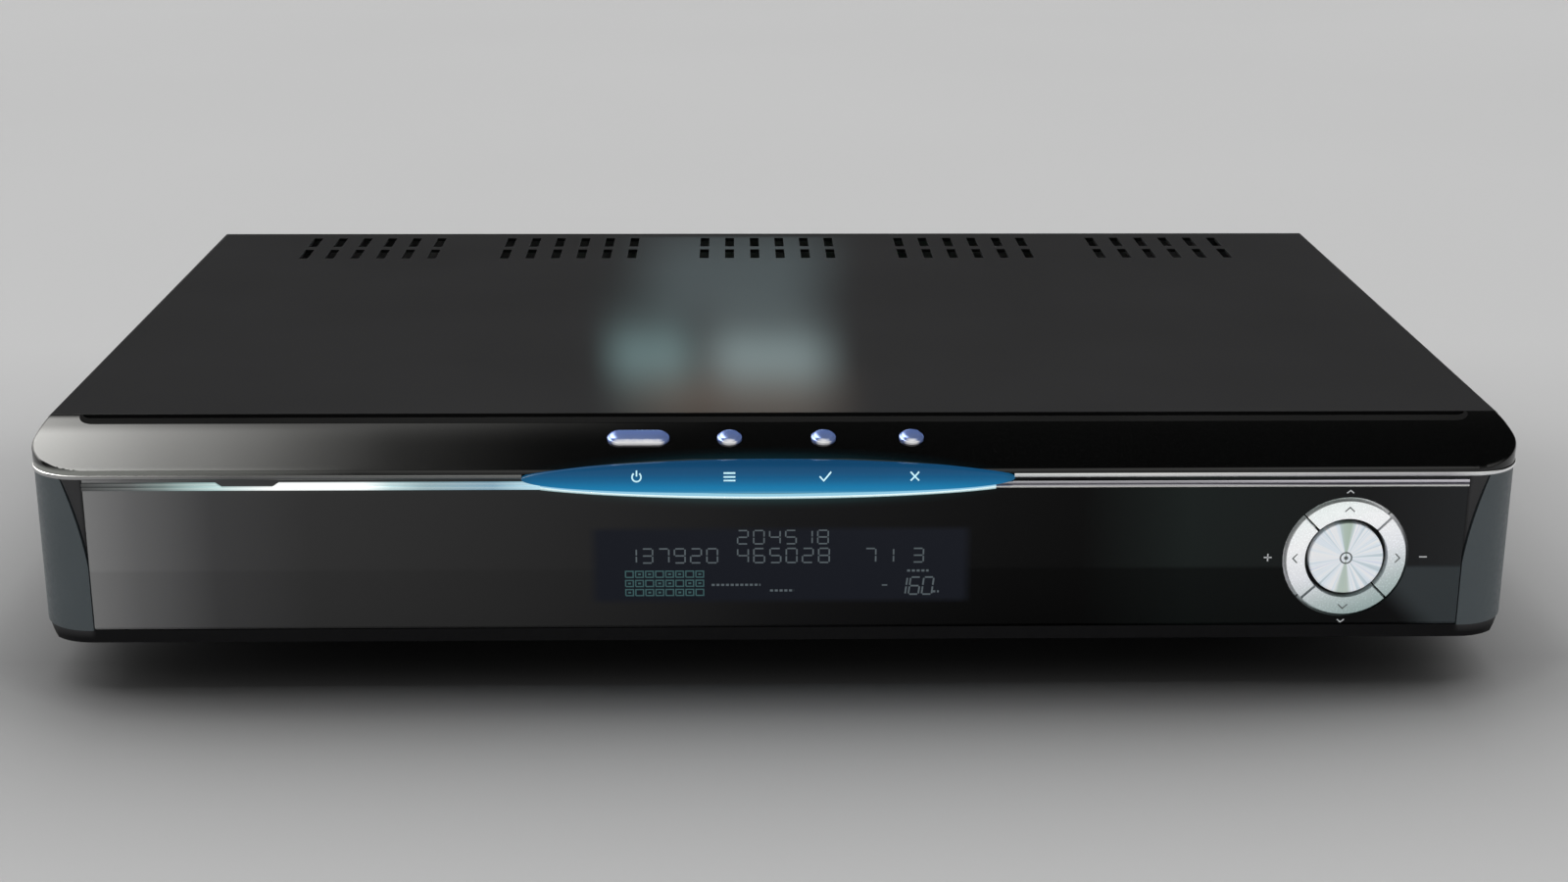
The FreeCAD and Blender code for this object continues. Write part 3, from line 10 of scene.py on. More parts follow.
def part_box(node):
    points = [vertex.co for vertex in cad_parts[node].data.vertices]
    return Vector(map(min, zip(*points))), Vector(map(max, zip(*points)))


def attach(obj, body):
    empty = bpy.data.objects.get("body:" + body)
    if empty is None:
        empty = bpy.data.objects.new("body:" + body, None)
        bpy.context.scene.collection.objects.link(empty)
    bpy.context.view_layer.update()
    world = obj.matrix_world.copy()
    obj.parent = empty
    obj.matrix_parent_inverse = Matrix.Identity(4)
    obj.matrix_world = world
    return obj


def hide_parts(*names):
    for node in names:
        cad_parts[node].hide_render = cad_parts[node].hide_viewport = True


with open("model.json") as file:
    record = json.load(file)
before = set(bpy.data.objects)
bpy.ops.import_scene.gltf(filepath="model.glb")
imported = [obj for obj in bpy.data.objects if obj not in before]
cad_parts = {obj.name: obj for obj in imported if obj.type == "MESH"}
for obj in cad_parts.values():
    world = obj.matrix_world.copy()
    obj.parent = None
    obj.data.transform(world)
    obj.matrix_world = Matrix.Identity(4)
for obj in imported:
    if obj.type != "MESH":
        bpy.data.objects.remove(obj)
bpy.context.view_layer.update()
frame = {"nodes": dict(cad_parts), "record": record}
nodes = frame["nodes"]
slots = {part["node"]: part["material_slot"] for part in frame["record"]["subparts"]}
MM = 0.001
scene = bpy.context.scene
scene.view_settings.view_transform = "Standard"


# ---------------------------------------------------------------- sizes, mm, most of them read from the frame
def corners(node):
    """Lowest and highest corner of a node's box."""
    low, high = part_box(node)
    return np.array(low) / MM, np.array(high) / MM


def middle_of(node):
    """Centre of a node's box."""
    low, high = corners(node)
    return (low + high) / 2


cover_low, cover_high = corners("top_cover")
bead_low, bead_high = corners("lip_trim")
lens_low, lens_high = corners("lens")
lens_mid = middle_of("lens")[0]
lens_reach = (lens_high[0] - lens_low[0]) / 2
face_y = corners("fascia_window")[0][1]
rear_y = corners("rear_panel")[1][1]
board_top = corners("main_board")[1][2]
pad_x, _, pad_z = middle_of("nav_centre")

lens_tip = 54.1                                    # height of the lens's two tips
roll_points = ((-118.4, 57.8), (-123.5, 54.1), (-121.0, 49.5))   # (y, z) on the lens: top, nose and foot
arc_inner, arc_outer, arc_flange = 10.05, 14.5, 16.2
pad_sunk = 0.5                                     # the pad's caps stand this much lower than in CAD
pad_split = 0.15                                   # half the gap between two arc keys
crown_radius = 63.75                               # the lip's top in section
crown_axis = (cover_low[1], cover_high[2] - crown_radius)
key_offset = 15.3                                  # row of lip keys, in front of the cover's edge
key_row_y = cover_low[1] - key_offset
key_row_z = crown_axis[1] + math.sqrt(crown_radius ** 2 - key_offset ** 2)
key_lean = key_offset / crown_radius
groove_half, groove_wide, groove_sink = 167.6, 3.4, 1.4          # groove between lip and cover
side_screw_z, hem_screw_z, foot_screw_z = 20.0, 56.8, 15.6
sharp_angle = 32.0                                 # degrees between two faces past which an edge is sharp


# ---------------------------------------------------------------- node building
def wire(tree, kind, inputs=(), **properties):
    """A new node: its properties set, and each of its inputs fed by a link or given a value."""
    node = tree.nodes.new(kind)
    for name, value in properties.items():
        setattr(node, name, value)
    for socket, value in dict(inputs).items():
        if isinstance(value, bpy.types.NodeSocket):
            tree.links.new(value, node.inputs[socket])
        else:
            node.inputs[socket].default_value = value
    return node


def combine(tree, kind, *parts):
    """Numbers and links joined one after the other by an arithmetic node."""
    total = parts[0]
    for part in parts[1:]:
        total = wire(tree, "ShaderNodeMath", {0: total, 1: part}, operation=kind).outputs[0]
    return total


def times(tree, *parts):
    """Product of numbers and links."""
    return combine(tree, "MULTIPLY", *parts)


def plus(tree, *parts):
    """Sum of numbers and links."""
    return combine(tree, "ADD", *parts)


def ranged(tree, source, start, end, low=0.0, high=1.0, smooth=False):
    """Carries a number from start and end onto low and high, held at both, and eased if smooth."""
    span = wire(tree, "ShaderNodeMapRange", {"Value": source, "From Min": start, "From Max": end,
                                             "To Min": low, "To Max": high},
                interpolation_type="SMOOTHSTEP" if smooth else "LINEAR")
    return span.outputs["Result"]


def spread(tree, source, low, high):
    """Carries the middle of a pattern's range onto two values."""
    return ranged(tree, source, 0.3, 0.7, low, high)


def mapped(tree, stretch=(1, 1, 1), centre=(0, 0, 0)):
    """Object coordinates through a Mapping node, centred on a point in mm and stretched."""
    place = wire(tree, "ShaderNodeTexCoord").outputs["Object"]
    shift = [-c * MM * s for c, s in zip(centre, stretch)]
    return wire(tree, "ShaderNodeMapping", {"Vector": place, "Location": shift,
                                            "Scale": stretch}).outputs["Vector"]


def noise(tree, scale, detail=2.0, stretch=(1, 1, 1)):
    """Irregular pattern on object coordinates."""
    return wire(tree, "ShaderNodeTexNoise", {"Vector": mapped(tree, stretch), "Scale": scale,
                                             "Detail": detail}).outputs["Fac"]


def blob(tree, centre, reach):
    """1 at a point, falling evenly to 0 on an ellipsoid of the given half sizes, all in mm."""
    place = mapped(tree, [1 / (r * MM) for r in reach], centre)
    return wire(tree, "ShaderNodeTexGradient", {"Vector": place}, gradient_type="SPHERICAL").outputs["Fac"]


def along(tree, axis, start, end):
    """0 to 1 along one axis of the object between two places in mm, held at the ends."""
    place = wire(tree, "ShaderNodeTexCoord").outputs["Object"]
    split = wire(tree, "ShaderNodeSeparateXYZ", {"Vector": place})
    return ranged(tree, split.outputs[axis], start * MM, end * MM)


def tones(tree, source, stops):
    """Colours laid along a number: stops are (place, colour), where one number stands for a grey."""
    ramp = wire(tree, "ShaderNodeValToRGB", {"Fac": source})
    elements = ramp.color_ramp.elements
    while len(elements) < len(stops):
        elements.new(0.5)
    for element, (place, colour) in zip(elements, stops):
        element.position = place
        element.color = (*colour, 1) if isinstance(colour, tuple) else (colour, colour, colour, 1)
    return ramp.outputs["Color"]


def lay_over(tree, factor, under, over):
    """Mixes two colours, each given or linked, by a factor."""
    under, over = ((*colour, 1) if isinstance(colour, tuple) else colour for colour in (under, over))
    return wire(tree, "ShaderNodeMix", {"Factor": factor, "A": under, "B": over},
                data_type="RGBA").outputs["Result"]


def relief(tree, source, depth, strength=1.0):
    """Bump from a pattern, depth in metres."""
    return wire(tree, "ShaderNodeBump", {"Height": source, "Distance": depth,
                                         "Strength": strength}).outputs["Normal"]


# ---------------------------------------------------------------- materials
finish = {}
fed_by = {"colour": "Base Color", "rough": "Roughness", "glow": "Emission Color", "normal": "Normal"}
matt = {"Specular IOR Level": 0.0}
low_gloss = {"Specular IOR Level": 0.12}


def shader(name, colour, rough, metal=0.0, sockets=()):
    """Starts the finish of that name: a Principled surface with its plain values on its own sockets."""
    finish[name] = bpy.data.materials.new(name)
    finish[name].use_nodes = True
    tree = finish[name].node_tree
    surface = tree.nodes["Principled BSDF"]
    plain = {"Base Color": (*colour, 1), "Roughness": rough, "Metallic": metal, **dict(sockets)}
    for socket, value in plain.items():
        surface.inputs[socket].default_value = value
    return tree, surface


def dress(tree, surface, **patterns):
    """Feeds patterns to the surface's colour, rough, glow and normal."""
    for word, source in patterns.items():
        tree.links.new(source, surface.inputs[fed_by[word]])


def moulded(name, colour, rough, metal=0.0, grain=900.0, depth=1.5e-5, vary=0.12, sockets=()):
    """Moulded or painted surface: fine grain in relief, and a slow drift of tone and gloss."""
    tree, surface = shader(name, colour, rough, metal, sockets)
    dark = tuple(c * (1 - vary) for c in colour)
    light = tuple(min(1.0, c * (1 + vary)) for c in colour)
    fine = noise(tree, grain)
    dress(tree, surface, colour=tones(tree, noise(tree, 18.0, 3.0), [(0.3, dark), (0.7, light)]),
          rough=spread(tree, fine, rough * 0.85, min(1.0, rough * 1.15)))
    if depth:
        dress(tree, surface, normal=relief(tree, fine, depth))


def lit(name, colour, strength):
    """Glowing mark: emission of one colour with a slow unevenness."""
    tree, surface = shader(name, [0.2 * c for c in colour], 0.3, sockets={"Emission Strength": strength})
    dark = tuple(0.85 * c for c in colour)
    dress(tree, surface, glow=tones(tree, noise(tree, 700.0), [(0.35, dark), (0.65, colour)]))


moulded("cover_paint", (0.028, 0.028, 0.0285), 0.7, grain=1600.0, depth=8e-6, vary=0.05,
        sockets={**matt, "Coat Weight": 0.2, "Coat Roughness": 0.09})
moulded("plated_steel", (0.50, 0.51, 0.52), 0.38, metal=1.0, grain=240.0, depth=0)
moulded("dark_plastic", (0.0035, 0.0035, 0.0038), 0.5, sockets=low_gloss)
moulded("grey_plastic", (0.044, 0.054, 0.059), 0.42)
moulded("bright_trim", (0.74, 0.76, 0.78), 0.10, metal=1.0, grain=300.0, depth=0, vary=0.03)
moulded("lens_blue", (0.01, 0.12, 0.25), 0.05, grain=60.0, depth=0)
moulded("key_silver", (0.36, 0.43, 0.64), 0.2, metal=0.45, grain=400.0, depth=0, vary=0.04)
moulded("board_green", (0.015, 0.085, 0.035), 0.35, grain=500.0, depth=1e-5)
moulded("board_brown", (0.22, 0.13, 0.05), 0.5, grain=500.0, depth=1e-5)
moulded("black_plastic", (0.014, 0.014, 0.015), 0.42)
moulded("screw_steel", (0.46, 0.46, 0.47), 0.3, metal=1.0, grain=900.0, depth=5e-6)
moulded("lamp_clear", (0.7, 0.8, 0.85), 0.15, grain=300.0, depth=0)
moulded("tube_glass", (0.03, 0.045, 0.05), 0.08, grain=200.0, depth=0)
moulded("ribbon_grey", (0.42, 0.43, 0.45), 0.4)
moulded("bare_aluminium", (0.66, 0.67, 0.68), 0.35, metal=1.0, grain=500.0)
moulded("tin_can", (0.6, 0.6, 0.58), 0.25, metal=1.0, grain=120.0, depth=0)
moulded("nickel", (0.68, 0.66, 0.62), 0.2, metal=1.0, grain=400.0, depth=0)
moulded("ferrite", (0.05, 0.05, 0.055), 0.55)
moulded("sleeve_dark", (0.01, 0.014, 0.04), 0.25, depth=0)
moulded("brass_pin", (0.62, 0.48, 0.24), 0.22, metal=1.0, grain=400.0, depth=0)
moulded("rubber_pad", (0.012, 0.012, 0.012), 0.75, grain=1200.0, depth=3e-5)
# painted glow: the bright crescent trim under the lens is given emission for the lens's light on it
moulded("lit_crescent", (0.80, 0.86, 0.88), 0.14, metal=0.9, grain=300.0, depth=0, vary=0.03,
        sockets={"Emission Color": (0.30, 0.46, 0.48, 1), "Emission Strength": 0.8})
moulded("pale_plastic", (0.66, 0.65, 0.60), 0.4, grain=500.0, depth=6e-6)
moulded("sign_white", (0.62, 0.62, 0.60), 0.5, depth=0)
# painted shade: dark matt finish of the strip that stands for the groove's shadow
moulded("groove_shade_matt", (0.0135, 0.0135, 0.0132), 0.6, grain=1200.0, depth=6e-6, sockets=matt)
# painted light: the groove floor's finish is paler than the cover to lighten the groove's shade
moulded("groove_floor_painted_light", (0.055, 0.055, 0.054), 0.6, grain=1200.0, depth=6e-6, sockets=matt)
moulded("mark_grey", (0.09, 0.10, 0.10), 0.5, depth=0)
moulded("print_grey", (0.42, 0.43, 0.44), 0.5, depth=0)
for tint, colour in {"yellow": (0.72, 0.50, 0.02), "white": (0.62, 0.62, 0.60), "red": (0.50, 0.015, 0.012),
                     "green": (0.02, 0.26, 0.06), "blue": (0.015, 0.06, 0.38)}.items():
    moulded("ring_" + tint, colour, 0.35, grain=600.0, depth=6e-6)
lit("sign_light", (0.55, 0.86, 0.95), 0.9)
lit("tube_light", (0.10, 0.125, 0.14), 0.6)
lit("tube_teal", (0.04, 0.11, 0.115), 0.6)


def glowing_lens():
    """Lens lit from behind: deep blue above, pale cyan below, fading towards its two tips."""
    tree, surface = shader("glowing_lens", (0.003, 0.02, 0.045), 0.14,
                           sockets={**low_gloss, "Emission Strength": 1.0})
    height = plus(tree, along(tree, "Z", lens_low[2], lens_high[2]), times(tree, noise(tree, 900.0), 0.03))
    glow = tones(tree, height, [(0.03, (0.07, 0.25, 0.36)), (0.12, (0.024, 0.20, 0.37)),
                                (0.30, (0.009, 0.17, 0.35)), (0.52, (0.006, 0.100, 0.225)),
                                (0.75, (0.004, 0.056, 0.140)), (1.0, (0.003, 0.036, 0.095))])
    ends = ranged(tree, blob(tree, (lens_mid, -121, 53.5), (62.0, 60.0, 60.0)), 0.0, 0.10)
    dress(tree, surface, glow=lay_over(tree, ends, (0.008, 0.055, 0.085), glow))


def spill(tree, surface, peak, high):
    """Light that the lens throws on its neighbours: a teal haze over an oval just wider than the lens."""
    near = blob(tree, (lens_mid, -119, 53.6), (63.5, 60.0, high))
    shares = ((0.0, 0.0), (0.12, 0.10), (0.26, 0.5), (0.4, 1.0))
    dress(tree, surface, glow=tones(tree, near, [(place, tuple(share * c for c in peak))
                                                 for place, share in shares]))
    surface.inputs["Emission Strength"].default_value = 1.0


def lip_black():
    """The lip: deep gloss black with faint dust and a slow waviness; its rim is paler along the left with a
    painted reflection.
    """
    tree, surface = shader("lip_black", (0.003, 0.003, 0.0032), 0.07)
    dust = noise(tree, 2600.0)
    black = tones(tree, dust, [(0.45, (0.0012, 0.0013, 0.0013)), (0.75, 0.0035)])
    # painted reflection: a pale band low on the rim towards the left end
    rim = times(tree, along(tree, "Z", 56.6, 55.8), along(tree, "X", -100.0, -170.0))
    dress(tree, surface, colour=lay_over(tree, rim, black, (0.19, 0.195, 0.18)),
          rough=spread(tree, dust, 0.05, 0.11), normal=relief(tree, noise(tree, 35.0, 1.0), 3e-5))
    spill(tree, surface, (0.003, 0.022, 0.030), 5.6)


def smoked_panel():
    """Smoked front panel: a painted reflection greys its left end, clearing to near black; painted shade
    deepens the lower half; a navy cast lies over the display window, and a painted sheen slants at the lower
    right."""
    tree, surface = shader("smoked_panel", (0.01, 0.01, 0.01), 0.12, sockets={"Specular IOR Level": 0.09})
    # painted reflection: grey at the left end, clearing to near black towards the right
    tint = tones(tree, along(tree, "X", -165.0, 165.0), [
        (0.0, 0.175), (0.035, (0.108, 0.108, 0.109)), (0.09, (0.046, 0.046, 0.047)), (0.16, 0.029),
        (0.30, 0.0212), (0.5, (0.0075, 0.0075, 0.008)), (0.66, 0.0028), (0.72, 0.0018),
        (0.80, (0.0092, 0.0125, 0.0118)), (0.93, (0.0085, 0.0088, 0.0092)), (1.0, (0.015, 0.016, 0.017))])
    # painted shade: the lower half darkened, more towards the right, standing for the floor's shadow
    # reflected in the panel
    lower = along(tree, "Z", 30.9, 30.0)
    deeper = plus(tree, times(tree, along(tree, "X", -20.0, 60.0), 0.52), 0.13)
    tint = lay_over(tree, times(tree, lower, deeper), tint, (0.0, 0.0, 0.0))
    window = times(tree, along(tree, "X", -46.0, -43.5), along(tree, "X", 46.5, 44.0),
                   along(tree, "Z", 21.5, 23.0), along(tree, "Z", 41.5, 40.0))
    tint = lay_over(tree, window, tint, (0.0085, 0.0100, 0.0150))
    # painted sheen: a slanted pale patch low at the right end
    slant = plus(tree, along(tree, "X", 128.0, 168.0), along(tree, "Z", 8.0, 48.0))
    sheen = times(tree, ranged(tree, slant, 0.78, 1.06, smooth=True), lower)
    dress(tree, surface, colour=lay_over(tree, sheen, tint, (0.031, 0.037, 0.040)),
          rough=spread(tree, noise(tree, 1500.0), 0.08, 0.16))
    spill(tree, surface, (0.009, 0.034, 0.036), 8.0)


def light_bar():
    """Left strip: metal with a painted glow and a painted reflection, bright near its lens end and dying away
    past the notch.
    """
    tree, surface = shader("light_bar", (0.45, 0.47, 0.48), 0.2, 0.8, {"Emission Strength": 0.8})
    across = along(tree, "X", -165.0, -55.0)
    # painted glow: emission along the strip, brightest near the lens end
    glow = tones(tree, across, [
        (0.0, (0.045, 0.047, 0.047)), (0.10, (0.050, 0.055, 0.055)), (0.17, (0.11, 0.16, 0.155)),
        (0.25, (0.30, 0.45, 0.44)), (0.285, (0.38, 0.56, 0.55)), (0.41, (0.88, 0.90, 0.89)),
        (0.60, (0.90, 0.97, 0.97)), (0.66, (0.42, 0.60, 0.62)), (0.74, (0.26, 0.40, 0.44)),
        (0.88, (0.18, 0.34, 0.44)), (1.0, (0.55, 0.85, 0.95))])
    # painted reflection: the metal's colour darkens and brightens along the strip
    metal = tones(tree, across, [(0.0, 0.05), (0.2, (0.25, 0.27, 0.27)), (0.4, (0.55, 0.56, 0.56)),
                                 (0.62, (0.50, 0.51, 0.51)), (0.72, (0.22, 0.23, 0.24)),
                                 (1.0, (0.25, 0.26, 0.27))])
    dress(tree, surface, glow=glow, colour=metal,
          rough=spread(tree, noise(tree, 60.0, stretch=(1, 12, 12)), 0.14, 0.28))


def spun_metal():
    """Spun metal: rings turned by the tool in relief, with painted highlights in soft rays about the centre
    and two painted dark wedges.
    """
    tree, surface = shader("spun_metal", (0.8, 0.82, 0.84), 0.24, 0.3)
    place = wire(tree, "ShaderNodeTexCoord").outputs["Object"]
    centred = wire(tree, "ShaderNodeMapping", {"Vector": place, "Location": (-pad_x * MM, pad_z * MM, 0),
                                               "Rotation": (math.pi / 2, 0, 0)}).outputs["Vector"]
    angle = wire(tree, "ShaderNodeTexGradient", {"Vector": centred}, gradient_type="RADIAL").outputs["Fac"]
    # painted highlights: soft rays of pale tone about the centre
    rays = wire(tree, "ShaderNodeTexNoise", {"W": angle, "Scale": 26.0, "Detail": 5.0, "Roughness": 0.62},
                noise_dimensions="1D").outputs["Fac"]
    painted_ray_light = tones(tree, rays, [(0.32, (0.60, 0.71, 0.77)), (0.46, (0.84, 0.92, 1.0)), (0.58, 1.0),
                              (0.70, (0.80, 0.86, 0.98))])
    # painted reflection: two dark wedges across the centre
    painted_dark_wedges = tones(tree, angle, [(0.0, 0.0), (0.205, 0.0), (0.225, 0.8), (0.262, 0.9), (0.285, 0.0),
                                (0.715, 0.0), (0.735, 0.75), (0.775, 0.75), (0.80, 0.0)])
    rings = wire(tree, "ShaderNodeTexWave", {"Vector": centred, "Scale": 1400.0, "Distortion": 0.4},
                 wave_type="RINGS", rings_direction="Z").outputs["Fac"]
    dress(tree, surface, colour=lay_over(tree, painted_dark_wedges, painted_ray_light, (0.42, 0.54, 0.44)),
          normal=relief(tree, rings, 6e-6, 0.6))


def bead_metal():
    """Bead round the lip: bright metal with a painted reflection, darker along its left half, with a painted
    highlight at its right corner.
    """
    tree, surface = shader("bead_metal", (0.8, 0.82, 0.83), 0.10, 1.0)
    # painted reflection: dark along the left half, bright from the middle rightwards, a highlight at the
    # right corner
    metal = tones(tree, along(tree, "X", -180.0, 180.0), [
        (0.0, 0.50), (0.06, 0.34), (0.14, 0.16), (0.45, (0.24, 0.25, 0.25)), (0.60, (0.90, 0.93, 0.94)),
        (0.75, 1.0), (0.88, (0.68, 0.67, 0.70)), (0.945, (0.62, 0.61, 0.64)), (0.965, (0.97, 0.98, 0.99))])
    dress(tree, surface, colour=metal, rough=spread(tree, noise(tree, 300.0), 0.09, 0.13))


def twin_trim():
    """Right strip: bright metal painted as two reflected lines, with painted shade in the dark line between,
    which pales towards the lens.
    """
    tree, surface = shader("twin_trim", (0.76, 0.76, 0.80), 0.10, 1.0)
    low, high = (corner[2] for corner in corners("trim_strip_right"))
    # painted reflection on the two lines and painted shade in the dark line between them
    lines = tones(tree, along(tree, "Z", low, high), [
        (0.0, (0.92, 0.92, 0.90)), (0.29, (0.92, 0.92, 0.90)), (0.36, (0.13, 0.125, 0.15)),
        (0.48, (0.13, 0.125, 0.15)), (0.56, (0.74, 0.72, 0.80)), (1.0, (0.78, 0.76, 0.83))])
    upper = along(tree, "Z", low + 0.30 * (high - low), low + 0.36 * (high - low))
    paled = times(tree, along(tree, "X", 134.0, 98.0), upper, 0.85)
    dress(tree, surface, colour=lay_over(tree, paled, lines, (0.50, 0.49, 0.53)),
          rough=spread(tree, noise(tree, 300.0), 0.085, 0.12))


def frame_plastic():
    """Front frame: near black, a shade paler on the slopes beside the fascia."""
    tree, surface = shader("frame_plastic", (0.0035, 0.0035, 0.0038), 0.5, sockets=low_gloss)
    sides = combine(tree, "MAXIMUM", along(tree, "X", 165.2, 166.4), along(tree, "X", -165.2, -166.4))
    slopes = times(tree, sides, along(tree, "Z", 13.0, 15.5))
    grain = noise(tree, 900.0)
    plain = tones(tree, grain, [(0.3, (0.0030, 0.0030, 0.0033)), (0.7, (0.0040, 0.0040, 0.0043))])
    dress(tree, surface, colour=lay_over(tree, slopes, plain, (0.030, 0.030, 0.031)),
          rough=spread(tree, grain, 0.42, 0.58), normal=relief(tree, grain, 1.5e-5))


def ring_silver():
    """Satin silver lacquer of the pad with painted light: paler above and at the left, cooler and darker
    below in painted shade; faint flakes.
    """
    tree, surface = shader("ring_silver", (0.8, 0.8, 0.8), 0.26, 0.12)
    # painted light and shade: the colour brightens upwards and to the left
    rise = times(tree, along(tree, "Z", pad_z - arc_outer, pad_z + arc_outer), 0.75)
    shift = times(tree, along(tree, "X", pad_x + arc_outer, pad_x - arc_outer), 0.30)
    silver = tones(tree, plus(tree, rise, shift), [
        (0.12, (0.34, 0.44, 0.43)), (0.28, (0.50, 0.58, 0.58)), (0.50, (0.84, 0.86, 0.90)),
        (0.72, (0.97, 0.98, 0.99)), (0.95, (0.92, 0.99, 0.97))])
    flakes = noise(tree, 2200.0, 1.0)
    dress(tree, surface, colour=silver, rough=spread(tree, flakes, 0.23, 0.29),
          normal=relief(tree, flakes, 8e-7))


def key_lacquer():
    """Lavender lacquer of the lip keys, with a painted highlight along their front edge."""
    tree, surface = shader("key_lacquer", (0.36, 0.43, 0.64), 0.2, 0.45)
    dust = noise(tree, 900.0)
    # painted highlight: near white along the front edge of each key
    back = plus(tree, along(tree, "Y", key_row_y - 3.1, key_row_y + 3.1), times(tree, dust, 0.05))
    dress(tree, surface, rough=spread(tree, dust, 0.18, 0.26), colour=tones(tree, back, [
        (0.0, 0.95), (0.09, (0.90, 0.90, 0.92)), (0.17, (0.18, 0.25, 0.50)), (0.75, (0.14, 0.23, 0.60)),
        (1.0, (0.24, 0.32, 0.62))]))


for make_finish in (glowing_lens, lip_black, smoked_panel, light_bar, spun_metal, ring_silver, key_lacquer,
                    bead_metal, frame_plastic, twin_trim):
    make_finish()
looks = {**slots, "top_lip": "lip_black", "fascia_window": "smoked_panel", "trim_strip_left": "light_bar",
         "trim_strip_right": "twin_trim", "lip_trim": "bead_metal", "front_frame": "frame_plastic"}
for node, obj in nodes.items():
    obj.data.materials.clear()
    obj.data.materials.append(finish[looks[node]])


# ---------------------------------------------------------------- surfaces
def lattice(points, close=False, caps=False):
    """Faces over a grid of points: each cell between neighbouring rows and columns is one face.
    close joins the last column to the first, caps covers the first and last rows."""
    rows, columns = points.shape[:2]
    index = np.arange(rows * columns).reshape(rows, columns)
    here = index if close else index[:, :-1]
    after = np.roll(index, -1, axis=1) if close else index[:, 1:]
    cells = np.stack([here[:-1], after[:-1], after[1:], here[1:]], axis=-1).reshape(-1, 4)
    faces = [tuple(cell) for cell in cells.tolist()]
    if caps:
        faces += [tuple(index[0, ::-1].tolist()), tuple(index[-1].tolist())]
    return points.reshape(-1, 3), faces


def put(points, origin, across, up, out):
    """Carries local points (across, up, out) to their place: origin plus each coordinate times its axis."""
    return np.array(origin, float) + points @ np.array([across, up, out], float)


def at_front(x, z, y=face_y):
    """Frame on the front: across is X, up is Z, out is towards the viewer."""
    return lambda points: put(points, (x, y, z), (1, 0, 0), (0, 0, 1), (0, -1, 0))


def at_rear(x, z, y=rear_y):
    """Frame on the rear panel: across is X, up is Z, out is backwards."""
    return lambda points: put(points, (x, y, z), (1, 0, 0), (0, 0, 1), (0, 1, 0))


def at_side(side, y, z):
    """Frame on the cover's left (-1) or right (1) side: across is Y, out is sideways."""
    return lambda points: put(points, (side * cover_high[0], y, z), (0, 1, 0), (0, 0, side), (side, 0, 0))


def made(name, shapes, body, replaced=(), angle=sharp_angle):
    """One object from (points, faces), place and finish: doubles merged, faces turned outwards,
    smooth except where two faces meet at more than angle."""
    points, faces, kinds, used, start = [], [], [], [], 0
    for (local, cells), place, look in shapes:
        points.append(place(local) if place else local)
        faces += [tuple(i + start for i in cell) for cell in cells]
        if look not in used:
            used.append(look)
        kinds += [used.index(look)] * len(cells)
        start += len(local)
    mesh = bpy.data.meshes.new(name)
    mesh.from_pydata(np.concatenate(points) * MM, [], faces)
    mesh.polygons.foreach_set("material_index", kinds)
    for look in used:
        mesh.materials.append(finish[look])
    work = bmesh.new()
    work.from_mesh(mesh)
    bmesh.ops.remove_doubles(work, verts=work.verts, dist=2e-7)
    bmesh.ops.dissolve_degenerate(work, edges=work.edges, dist=1e-8)
    bmesh.ops.recalc_face_normals(work, faces=work.faces)
    work.to_mesh(mesh)
    work.free()
    mesh.shade_smooth()
    mesh.set_sharp_from_angle(angle=math.radians(angle))
    piece = bpy.data.objects.new(name, mesh)
    scene.collection.objects.link(piece)
    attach(piece, body)
    if replaced:
        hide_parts(*replaced)
    return piece


def faired(node, body="case", ease=None):
    """Smooth copy of a CAD node: doubles merged, flat facets joined, sharp only past the sharp angle,
    and its edges eased by a small round of that radius in mm."""
    mesh = nodes[node].data.copy()
    mesh.name = node + "_smooth"
    for layer in ("custom_normal", "sharp_edge", "sharp_face"):
        if layer in mesh.attributes:
            mesh.attributes.remove(mesh.attributes[layer])
    work = bmesh.new()
    work.from_mesh(mesh)
    bmesh.ops.remove_doubles(work, verts=work.verts, dist=1e-6)
    bmesh.ops.dissolve_limit(work, angle_limit=math.radians(0.4), verts=work.verts, edges=work.edges)
    work.to_mesh(mesh)
    work.free()
    mesh.shade_smooth()
    mesh.materials.clear()
    mesh.materials.append(finish[looks[node]])
    piece = bpy.data.objects.new(node + "_smooth", mesh)
    scene.collection.objects.link(piece)
    if ease:
        bevel = piece.modifiers.new("eased edges", "BEVEL")
        bevel.width = ease * MM
        bevel.segments = 2
        bevel.limit_method = "ANGLE"
        bevel.angle_limit = math.radians(sharp_angle)
        bevel.use_clamp_overlap = True
        bevel.harden_normals = True
    else:
        mesh.set_sharp_from_angle(angle=math.radians(sharp_angle))
    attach(piece, body)
    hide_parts(node)
    return piece


def turned(profile, sides=48):
    """A profile of (radius, height) carried round the out axis: (r cos a, r sin a, height)."""
    radius, height = np.array(profile, float).T
    angle = np.linspace(0, 2 * math.pi, sides, endpoint=False)
    grid = np.stack([np.outer(radius, np.cos(angle)), np.outer(radius, np.sin(angle)),
                     np.repeat(height[:, None], sides, 1)], axis=-1)
    return lattice(grid, close=True, caps=True)


def rounded(half_wide, half_high, corner, steps=6):
    """Outline of a rectangle with round corners: four quarter circles about the corner centres."""
    quarter = np.linspace(0, math.pi / 2, steps)
    turn = (quarter[None, :] + np.arange(4)[:, None] * math.pi / 2).ravel()
    sign = np.repeat(np.array([[1, 1], [-1, 1], [-1, -1], [1, -1]]), steps, axis=0)
    centre = sign * np.array([half_wide - corner, half_high - corner])
    return centre + corner * np.stack([np.cos(turn), np.sin(turn)], axis=1)


